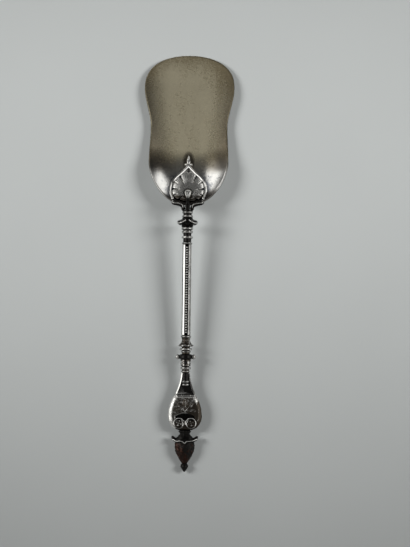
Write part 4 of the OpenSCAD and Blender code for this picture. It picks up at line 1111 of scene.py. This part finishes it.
class SPOON_OT_drum(bpy.types.Operator):
    """Turn the drum and the rings of its tail, and set the small bud on its front."""
    bl_idname = "spoon.drum"
    bl_label = "Drum"

    def execute(self, context):
        low, reach = stretch("drum", "drum_tail")
        tail, tail_reach = stretch("drum_tail", "plate")
        foot = tail + tail_reach
        profile = [(0, low), (1.8, low), (1.8, tail), (1.3, tail), (1.3, foot), (0, foot)]
        turned("turned_drum", "drum", profile, 0.16, "brown_silver")
        bm = bmesh.new()
        shares = ((0.12, 0.25, 0.4), (0.25, 0.8, 0.9), (0.45, 1, 1), (0.65, 0.6, 0.8), (0.85, 0.2, 0.4))
        rings = []
        for s, w, d in eased(shares, 4):
            ring = []
            for j in range(17):
                a = (1 - j / 8) * w * 0.36
                out = 1.85 + d * 0.35 * cos((1 - j / 8) * pi / 2) ** 0.7 if 0 < j < 16 else 1.85
                ring.append(Vector((out * sin(a), out * cos(a), low + s * reach)))
            for j in range(1, 16):
                a = (j / 8 - 1) * w * 0.36
                ring.append(Vector((1.84 * sin(a), 1.84 * cos(a), low + s * reach)))
            rings.append(ring)
        grow(bm, rings, (rings[0][8] + rings[0][24]) / 2, (rings[-1][8] + rings[-1][24]) / 2)
        set_down(bm, "drum_bud_casting", ["drum_bud"], "dark_silver")
        ring_wires("drum_ring_wires", "drum_rings", tail, tail_reach, 1.35,
                   ((0.3, 1.875, 0.9), (0.78, 1.7, 0.45)))
        return {"FINISHED"}


COLUMN_REACH = 4.8


def plate_half(share_of_length):
    """Half width of the plate, which flares towards the medallion."""
    terminal = bpy.context.scene.spoon_terminal
    growth = along(((0, 0), (0.06, 0), (0.2, 0), (0.42, 0), (0.7, 0), (1, 0)), share_of_length * 5)[0]
    return mix(mm(terminal.plate_root), mm(terminal.plate_end), growth) / 2


class SPOON_OT_plate(bpy.types.Operator):
    """Cast the spatulate plate with its raised edges and let the column into it."""
    bl_idname = "spoon.plate"
    bl_label = "Plate and column"

    def execute(self, context):
        low, reach = stretch("plate", "medallion")
        deep = mm(context.scene.spoon_terminal.plate_depth) / 2
        bm = bmesh.new()
        rings = []
        for i in range(31):
            t = i / 30
            half = plate_half(t)
            sunk = 0.35 * smooth((0.97 - t) / 0.05)
            front = [(half, -deep + 0.12), (half, deep - 0.3), (half - 0.06, deep - 0.24),
                     (half - 0.42, deep - 0.03), (half - 0.48, deep), (half - 0.56, deep - 0.04),
                     (half - 0.66, deep - sunk), (half * 0.5, deep - sunk), (0, deep - sunk)]
            side = [Vector((x, y, low + t * reach)) for x, y in front]
            other = [Vector((-v.x, v.y, v.z)) for v in reversed(side[:-1])]
            back = [Vector((x * (half - 0.12), -deep, low + t * reach)) for x in (-1, -0.5, 0, 0.5, 1)]
            rings.append(side + other + back)
        grow(bm, rings, (0, 0, low), (0, 0, low + reach))
        made = set_down(bm, "spatulate_plate", ["terminal_plate"], "plate_silver")
        soften_edges(made, 0.06 * MM)
        foot = low + COLUMN_REACH
        turned("column_turning", "column", [(0, low), (1.35, low), (1.35, foot), (0, foot)], 0.15)
        ring_wires("column_rings", "column", low, COLUMN_REACH, 1.2, ((0.66, 1.55, 0.6), (0.88, 1.55, 0.6)))
        return {"FINISHED"}


def stops(places, value):
    """How many places along a rising list a value lies."""
    for i, (a, b) in enumerate(zip(places, places[1:])):
        if value <= b:
            return i + max(0, value - a) / (b - a)
    return len(places) - 1


def spiral(bm, path, radii, sides=12):
    """Wire that lies in the handle's flat plane."""
    upended = Matrix.Rotation(pi / 2, 3, "X")
    back = upended.inverted()
    before = set(bm.verts)
    wire(bm, [upended @ p for p in path], radii, sides)
    for vert in set(bm.verts) - before:
        vert.co = back @ vert.co


MEDALLION_SIDE = ((0.58, 0), (0.72, 0.1), (0.83, 0.21), (0.915, 0.33), (0.972, 0.44), (1, 0.55), (1, 0.65),
                  (0.955, 0.76), (0.84, 0.86), (0.66, 0.94), (0.4, 1))


def medallion_loop():
    """Outline of the medallion, a point every few tenths of a millimetre."""
    terminal = bpy.context.scene.spoon_terminal
    half, reach = mm(terminal.medallion_width) / 2, stretch("medallion", "leaf_neck")[1]
    side = eased([(x * half, y * reach) for x, y in MEDALLION_SIDE], 7)
    top = [(side[0][0] * i / 8, 0) for i in range(0, 8)]
    foot = [(side[-1][0] * i / 6, reach) for i in range(5, -1, -1)]
    right = top + side + foot
    return [Vector(p) for p in right + [(-x, y) for x, y in reversed(right[1:-1])]]


LEAVES = ((90, 4.2, 0.95), (38, 3.6, 0.9), (142, 3.6, 0.9), (-8, 4.1, 0.8), (188, 4.1, 0.8), (64, 2.2, 0.5),
          (116, 2.2, 0.5))


def foliage(x, y):
    """Low leaves that fan out from the medallion's middle, each with a vein."""
    height = 0.0
    for heading, reach, wide in LEAVES:
        a = radians(heading)
        out = x * cos(a) + y * sin(a)
        off = -x * sin(a) + y * cos(a)
        t = out / reach
        half = wide * sin(pi * t ** 0.8) ** 0.7 + 0.02 if 0 < t < 1 else 0
        if abs(off) < half:
            vein = 0.35 * ridge(off, 0.12)
            height = max(height, (1 - (off / half) ** 2) ** 0.5 * sin(pi * t ** 0.7) ** 0.4 * (1 - vein))
    return height


# Shares of the way from the medallion's middle to its edge: where the rim bends, and where its rings lie
RIM_SHARES = (0.79, 0.825, 0.88, 0.95, 1)
RIM_HEIGHTS = ((0.7,), (1,), (0.74,), (0.42,), (0,))
FRONT_SHARES = [i / 44 for i in range(1, 34)] + [0.765, 0.785, 0.795, 0.81, 0.825, 0.835, 0.85, 0.88, 0.91,
                                                 0.93, 0.95, 0.97, 0.985, 0.995, 1.0]
BACK_SHARES = (0.999, 0.99, 0.97, 0.94, 0.9, 0.8, 0.7, 0.6, 0.4, 0.2)

# Shares of the medallion's length at its middle and at the middles of its volutes
MIDDLE_SHARE = 0.52
SCROLL_SHARE = 0.81

# In millimetres: the depth of the arched hollow and the swell of the back
HOLLOW_DEPTH = 0.75
BACK_SWELL = 0.6


def medallion_sizes():
    """Half the medallion's edge, the height of its rim and of its face, and the half width of its hollow."""
    terminal = bpy.context.scene.spoon_terminal
    edge, rim = mm(terminal.medallion_edge) / 2, mm(terminal.medallion_rim)
    return edge, rim, edge + RIM_HEIGHTS[0][0] * rim, 0.3 * mm(terminal.medallion_width)


def medallion_front(x, y, share_of_reach=0):
    """Height of the medallion's front, which has a raised rim round a face with an arched hollow."""
    edge, rim, face, arch = medallion_sizes()
    reach = stretch("medallion", "leaf_neck")[1]
    if share_of_reach > RIM_SHARES[0]:
        return edge + rim * along(RIM_HEIGHTS, stops(RIM_SHARES, share_of_reach))[0]
    top = mix(0.53, 0.62, (x / arch) ** 2) * reach
    inside = smooth((y - top) / 0.2) * smooth((0.74 * reach - y) / 0.3) * smooth((arch - abs(x)) / 0.25)
    return face - HOLLOW_DEPTH * inside


def cast_medallion(low, reach):
    """The medallion's plate, grown from its face over its rim to its swelled back."""
    edge = medallion_sizes()[0]
    middle = Vector((0, MIDDLE_SHARE * reach))
    outline = medallion_loop()

    def level(share_of_reach, front):
        ring = []
        for p in outline:
            q = middle.lerp(p, share_of_reach)
            back = -edge - BACK_SWELL * sqrt(max(0, 1 - share_of_reach ** 2))
            ring.append(Vector((q.x, medallion_front(*q, share_of_reach) if front else back, low + q.y)))
        return ring

    rings = [level(s, True) for s in FRONT_SHARES] + [level(s, False) for s in BACK_SHARES]
    bm = bmesh.new()
    grow(bm, rings, (0, medallion_front(*middle), low + middle.y), (0, -edge - BACK_SWELL, low + middle.y))
    set_down(bm, "medallion_casting", ["medallion"], "medallion_silver")


def cast_relief(low, reach):
    """The foliage on the medallion's face, and the V of stalks under it."""
    face = medallion_sizes()[2]
    bm = bmesh.new()
    for vert in bmesh.ops.create_grid(bm, x_segments=110, y_segments=90, size=1)["verts"]:
        x, y = vert.co.x * 4.3, vert.co.y * 3.2 - 1.2
        vert.co = Vector((x, face - 0.06 + 0.36 * foliage(x, -y), low + 0.43 * reach + y))
    low_faces = [f for f in bm.faces if all(v.co.y < face - 0.03 for v in f.verts)]
    bmesh.ops.delete(bm, geom=low_faces, context="FACES")
    bmesh.ops.solidify(bm, geom=bm.faces[:], thickness=0.04)
    set_down(bm, "foliage_relief", ["medallion_relief"], "brown_silver")
    bm = bmesh.new()
    bend = ((-1, 5.2), (-0.5, 5.75), (0, 6.3), (0.45, 5.75), (0.9, 5.2))
    spiral(bm, [Vector((x, face + 0.2, low + y)) for x, y in bend], [0.12, 0.17, 0.2, 0.17, 0.12], 10)
    set_down(bm, "relief_stalks", ["medallion_relief"], "thin_silver")


def paint_hollow_shade(low, reach):
    """Thin black sheet of painted shade in the medallion's hollow."""
    arch = medallion_sizes()[3]
    bm = bmesh.new()
    for vert in bmesh.ops.create_grid(bm, x_segments=48, y_segments=24, size=1)["verts"]:
        x = vert.co.x * arch * 0.97
        y = mix(mix(0.535, 0.625, (x / arch) ** 2), 0.735, (vert.co.y + 1) / 2) * reach
        vert.co = Vector((x, medallion_front(x, y) + 0.03, low + y))
    bmesh.ops.solidify(bm, geom=bm.faces[:], thickness=0.03)
    set_down(bm, "hollow_tarnish", ["medallion"], "dark_silver")


def bend_volutes(low, reach):
    """The two volutes with the bridge between them, and the leaves inside them."""
    terminal = bpy.context.scene.spoon_terminal
    edge, rim = medallion_sizes()[:2]
    thin, top, gap = 0.19, edge + rim + 0.05, mm(terminal.volute_gap) / 2
    outer, station = mm(terminal.volute) / 2 - thin, low + SCROLL_SHARE * reach
    bm = bmesh.new()
    for side in (-1, 1):
        path = []
        for i in range(73):
            t = i / 72
            a = radians(150 - 375 * t)
            r = outer * mix(1, 0.75, smooth(3 * t - 2))
            path.append(Vector((side * (gap + r * cos(a)), top + thin, station - r * sin(a))))
        spiral(bm, path, [mix(thin, 0.13, t / 72) for t in range(73)])
    bridge = [Vector((0.001 + y * 0.02, top + 0.1, low + y)) for y in (9.7, 10.1, 10.5, 10.9)]
    wire(bm, bridge, [0.16] * 4, 10)
    set_down(bm, "volute_pair", ["medallion_volutes"], "volute_silver")
    bm = bmesh.new()
    leaves = ((0, 0, 0.42), (20, 0.78, 0.3), (110, 0.75, 0.32), (200, 0.78, 0.3), (290, 0.75, 0.32))
    for side in (-1, 1):
        for heading, out, wide in leaves:
            a = radians(heading)
            middle = (side * (gap + out * cos(a)), top + 0.05, station - out * sin(a))
            bead(bm, middle, wide, (1, 0.7, 1), 10, 14)
    set_down(bm, "volute_leaves", ["medallion_volutes"], "brown_silver")


class SPOON_OT_medallion(bpy.types.Operator):
    """Cast the medallion with its raised rim and arched hollow, its foliage and its two volutes, and line the
    hollow with a dark sheet of painted shade.
    """
    bl_idname = "spoon.medallion"
    bl_label = "Medallion"

    def execute(self, context):
        for step in (cast_medallion, cast_relief, paint_hollow_shade, bend_volutes):
            step(*stretch("medallion", "leaf_neck"))
        return {"FINISHED"}


CROWN_LIP = ((-4.3, 1.05), (-3.7, 1.3), (-3.0, 1.75), (-1.6, 1.6), (-0.8, 1.75), (0, 2.35), (0.7, 1.75),
             (2.0, 1.6), (3.2, 1.4), (4.4, 0.95))


class SPOON_OT_finial(bpy.types.Operator):
    """Cast the leafy neck, the crown with its horns, the bud and the drop at the tip."""
    bl_idname = "spoon.finial"
    bl_label = "Finial"

    def execute(self, context):
        bm = bmesh.new()
        neck = ((0, 0.75, 0.8), (0.2, 0.95, 1), (0.45, 0.8, 0.85), (0.6, 0.72, 0.75), (0.8, 0.85, 0.9),
                (1, 1, 1))
        low, reach = stretch("leaf_neck", "crown")
        stations = [(low + s * reach, w * 2.4, d * 1.2, d * 1.2) for s, w, d in eased(neck, 4)]
        loft(bm, stations, 96, leaf_grooves)
        set_down(bm, "leafy_neck", ["leaf_neck"], "dark_silver")

        bm = bmesh.new()
        crown = ((0, 0.68, 0.7), (0.25, 0.8, 0.82), (0.55, 0.95, 0.97), (0.8, 1, 1), (1, 0.97, 0.96))
        low, reach = stretch("crown", "bud")
        loft(bm, [(low + s * reach, w * 3.7, d * 1.8, d * 1.8) for s, w, d in eased(crown, 4)], 96, crown_lip)
        horn = ((0.5, 0.66, 1), (0.66, 0.64, 1), (0.82, 0.56, 0.9), (0.93, 0.38, 0.85), (1, 0.15, 0.6))
        for side in (-1, 1):
            steps = eased(horn, 4)
            path = [Vector((side * p[0] * 4.3, 0, low + p[1] * reach)) for p in steps]
            spiral(bm, path, [p[2] * 0.8 for p in steps], 20)
        set_down(bm, "horned_crown", ["crown_collar"], "dark_silver")
        bm = bmesh.new()
        bend = [(x, 1.84 * sqrt(max(0, 1 - (x / 4.75) ** 2)), low + y) for x, y in CROWN_LIP]
        lip = [Vector(p) for p in eased(bend, 6)]
        spiral(bm, lip, [0.16] * len(lip), 12)
        set_down(bm, "crown_lip_wire", ["crown_collar"], "bead_silver")

        bm = bmesh.new()
        half = mm(context.scene.spoon_terminal.bud_width) / 2
        bud = ((0, 0.93, 0.8), (0.08, 0.99, 0.92), (0.22, 1, 1), (0.38, 0.95, 0.98), (0.54, 0.84, 0.88),
               (0.7, 0.67, 0.73), (0.85, 0.46, 0.55), (1, 0.26, 0.38))
        low, reach = stretch("bud", "tip")
        stations = [(low + s * reach, w * half, d * 2.0, d * 2.3) for s, w, d in eased(bud, 6)]
        loft(bm, stations, 120, bud_petals)
        bmesh.ops.transform(bm, matrix=handle_place(), verts=bm.verts)
        for vert in bm.verts:
            vert.co.z = max(vert.co.z, 0)
        set_down(bm, "budded_finial", ["bud_finial"], "bud_silver", Matrix.Identity(4))

        bm = bmesh.new()
        tip = ((0, 0.62), (0.15, 0.92), (0.35, 1), (0.6, 0.75), (0.85, 0.35), (0.97, 0.12))
        low, reach = stretch("tip", "end")
        loft(bm, [(low + s * reach, r * 1.4, r * 1.4, r * 1.4) for s, r in eased(tip, 5)], 36)
        set_down(bm, "tip_drop", ["bud_tip"], "dark_silver")
        return {"FINISHED"}


def leaf_grooves(a, station):
    """Eight grooves between the leaves of the neck."""
    return -0.1 * abs(sin(4 * a)) ** 6


def crown_lip(a, station):
    """Six low lobes that rise towards the crown's lip."""
    return 0.03 * cos(6 * a) * smooth((station - STATIONS["crown"] - 0.5) / 1.2)


def bud_petals(a, station):
    """Petals that lap round the bud, with a groove between each pair."""
    low, reach = stretch("bud", "tip")
    t = (station - low) / reach
    petal = abs(sin(2.5 * (a + pi / 2) + 0.35 * sin(pi * t)))
    scales = 0.035 * sin(9 * a + 14 * t) * sin(26 * t - 2 * abs(a - pi / 2))
    return (scales - 0.08 * (1 - petal) ** 4) * smooth(t / 0.15) * smooth((1 - t) / 0.2)


# The table's height, the turn and the distance of the windows, and the place on the table that each faces
TABLE_HEIGHT = -0.00005
WINDOW_TURN = radians(86)
WINDOW_DISTANCE = 0.6
WINDOW_AIM = Vector((0, 0.045, 0))

# The lens shows 2.7198 pixels to the millimetre at 420 mm, in a picture that is 547 pixels tall
SENSOR = 36.0
LENS = SENSOR * 2.7198 * 420 / 547
CAMERA_AIM = Vector((6.570, -5.529, 0)) * MM


def lay_table(stage):
    bm = bmesh.new()
    bmesh.ops.create_grid(bm, x_segments=8, y_segments=8, size=3.0)
    bmesh.ops.translate(bm, verts=bm.verts, vec=(0, 0, TABLE_HEIGHT))
    mesh = bpy.data.meshes.new("table_top")
    bm.to_mesh(mesh)
    bm.free()
    table = bpy.data.objects.new("table_top", mesh)
    bpy.context.scene.collection.objects.link(table)
    mesh.materials.append(table_finish(stage.table))


def hang_window(stage, name, side):
    """Soft window light beside the spoon, which the silver doesn't mirror."""
    light = bpy.data.lights.new(name, "AREA")
    light.shape = "RECTANGLE"
    light.size, light.size_y = 0.15, 0.24
    light.spread = radians(58)
    light.energy = stage.light_power
    hung = bpy.data.objects.new(name, light)
    hung.visible_camera = False
    hung.visible_glossy = False
    level = cos(stage.light_height)
    way = Vector((side * sin(WINDOW_TURN) * level, cos(WINDOW_TURN) * level, sin(stage.light_height)))
    hung.location = way * WINDOW_DISTANCE + WINDOW_AIM
    hung.rotation_euler = way.to_track_quat("Z", "Y").to_euler()
    bpy.context.scene.collection.objects.link(hung)


def set_camera(stage):
    """Camera that leans towards the handle and is turned a little about its own axis."""
    camera = bpy.data.cameras.new("camera")
    camera.sensor_fit = "VERTICAL"
    camera.sensor_height = SENSOR
    camera.lens = LENS
    camera.clip_start = 0.01
    seen = bpy.data.objects.new("camera", camera)
    bpy.context.scene.collection.objects.link(seen)
    lean, roll = stage.camera_lean, stage.camera_roll
    back = Vector((0, -sin(lean), cos(lean)))
    right = Vector((1, 0, 0))
    up = back.cross(right)
    across = cos(roll) * right + sin(roll) * up
    tall = -sin(roll) * right + cos(roll) * up
    facing = Matrix((across, tall, back)).transposed().to_4x4()
    seen.matrix_world = Matrix.Translation(CAMERA_AIM + back * stage.camera_distance) @ facing
    bpy.context.scene.camera = seen


class SPOON_OT_stage(bpy.types.Operator):
    """Lay the table, hang the window lights and set the camera over the spoon."""
    bl_idname = "spoon.stage"
    bl_label = "Stage"

    def execute(self, context):
        stage = context.scene.spoon_stage
        lay_table(stage)
        hang_window(stage, "left_window", -1)
        hang_window(stage, "right_window", 1)
        context.scene.world = bpy.data.worlds.new("room")
        room(context.scene.world)
        set_camera(stage)
        context.scene.view_settings.view_transform = "Standard"
        return {"FINISHED"}


def table_finish(shade):
    """Matt pale table with a faint cloudiness, which glows far from the spoon: painted light that keeps it
    pale where the window lights fall off.
    """
    made, tree = fresh_finish("pale_table")
    cloud = tree.mottle(0.05, 3.0)
    surface = tree.bump(tree.mottle(0.6 * MM, 3.0), 0.02 * MM, 0.3)
    away = tree.node("ShaderNodeVectorMath", {"operation": "LENGTH"}, {0: tree.place()}, "Value")
    # Painted light: the table glows from about 13 to 27 cm out from its middle onwards
    far = away.between(0.13, 0.27)
    shader = tree.node("ShaderNodeBsdfPrincipled", None, {
        "Base Color": tree.blended(cloud, shade, [v * 0.94 for v in shade]),
        "Roughness": 0.75, "Normal": surface,
        "Emission Color": tree.blended(far, (0, 0, 0), [v * 0.85 for v in shade]), "Emission Strength": 1.0})
    tree.node("ShaderNodeOutputMaterial", None, {"Surface": shader})
    return made


# What the silver mirrors: turn from the bowl's end and height over the table, both in degrees, then their
# half spans, and the glow
WINDOWS = ((-34, 30, 14, 13, 1.5), (31, 20, 12, 9, 1.4), (90, 38, 24, 16, 1.6), (-90, 38, 24, 16, 2.0),
           (-70, 14, 20, 8, 0.6))


def room(world):
    """Room that the silver mirrors: dark ahead, dim overhead, paler to the sides, with bright windows."""
    tree = Tree(world)
    way = tree.node("ShaderNodeTexCoord", output="Generated")
    across, ahead, height = tree.split(way, "XYZ")
    greys = [(0.0, 0.3), (0.35, 0.22), (0.5, 0.15), (0.6, 0.28), (0.66, 0.33), (0.695, 0.2), (0.725, 0.07),
             (1.0, 0.04)]
    dim = tree.node("ShaderNodeValToRGB", {"stops": [(place, (v, v, v)) for place, v in greys]},
                    {"Fac": ahead * 0.5 + 0.5}, "Color")
    sides = (across.size().between(0.35, 0.75) * 0.08 * (1 - ahead.between(0.2, 0.4))
             - across.between(-0.5, 0.5) * 0.03)
    bearing, raised = across.worked("ARCTAN2", across, ahead), height.worked("ARCSINE", height)
    panes = 0.0
    for turn_to, level, half_turn, half_height, glow in WINDOWS:
        beside = (bearing - radians(turn_to)).size().between(radians(half_turn - 4), radians(half_turn + 4))
        above = (raised - radians(level)).size().between(radians(half_height - 4), radians(half_height + 4))
        panes = (1 - beside) * (1 - above) * glow + panes
    rays = {name: tree.node("ShaderNodeLightPath", output=name)
            for name in ("Is Camera Ray", "Is Glossy Ray", "Is Transmission Ray")}
    mirrored = (dim + sides + panes + 0.02) * rays["Is Glossy Ray"] + 0.02
    low = 1 - height.between(0.02, 0.1)
    shown = rays["Is Camera Ray"].most(low * rays["Is Glossy Ray"].most(rays["Is Transmission Ray"]))
    tinted = {"Red": mirrored, "Green": mirrored, "Blue": mirrored * 0.98}
    shade = tree.node("ShaderNodeCombineColor", None, tinted)
    glow = tree.node("ShaderNodeBackground", None, {"Color": tree.blended(shown, shade, (0.60, 0.60, 0.59)),
                                                    "Strength": 1.0})
    tree.node("ShaderNodeOutputWorld", None, {"Surface": glow})


PIECES = (SPOON_OT_bowl, SPOON_OT_shell, SPOON_OT_frame, SPOON_OT_drop, SPOON_OT_arms, SPOON_OT_neck,
          SPOON_OT_knop, SPOON_OT_lower_collar, SPOON_OT_stem, SPOON_OT_bell, SPOON_OT_lug_collar,
          SPOON_OT_drum, SPOON_OT_plate, SPOON_OT_medallion, SPOON_OT_finial, SPOON_OT_stage)

GROUPS = {"spoon_bowl": BowlSizes, "spoon_palmette": PalmetteSizes, "spoon_handle": HandleSizes,
          "spoon_terminal": TerminalSizes, "spoon_silver": SilverColours, "spoon_stage": StageSettings}


class SPOON_PT_panel(bpy.types.Panel):
    """The spoon's pieces, and the sizes and colours that they are made from."""
    bl_idname = "SPOON_PT_panel"
    bl_label = "Silver Sugar Spoon"
    bl_space_type = "VIEW_3D"
    bl_region_type = "UI"
    bl_category = "Sugar Spoon"

    def draw(self, context):
        for piece in PIECES:
            self.layout.operator(piece.bl_idname)
        for name, group in GROUPS.items():
            box = self.layout.box()
            for size in group.__annotations__:
                box.prop(getattr(context.scene, name), size)


def register():
    for made in (*GROUPS.values(), *PIECES, SPOON_PT_panel):
        bpy.utils.register_class(made)
    for name, group in GROUPS.items():
        setattr(bpy.types.Scene, name, PointerProperty(type=group))


def unregister():
    for name in GROUPS:
        delattr(bpy.types.Scene, name)
    for made in reversed((*GROUPS.values(), *PIECES, SPOON_PT_panel)):
        bpy.utils.unregister_class(made)


def main():
    register()
    for piece in PIECES:
        getattr(bpy.ops.spoon, piece.bl_idname.split(".")[1])()


if __name__ == "__main__":
    main()
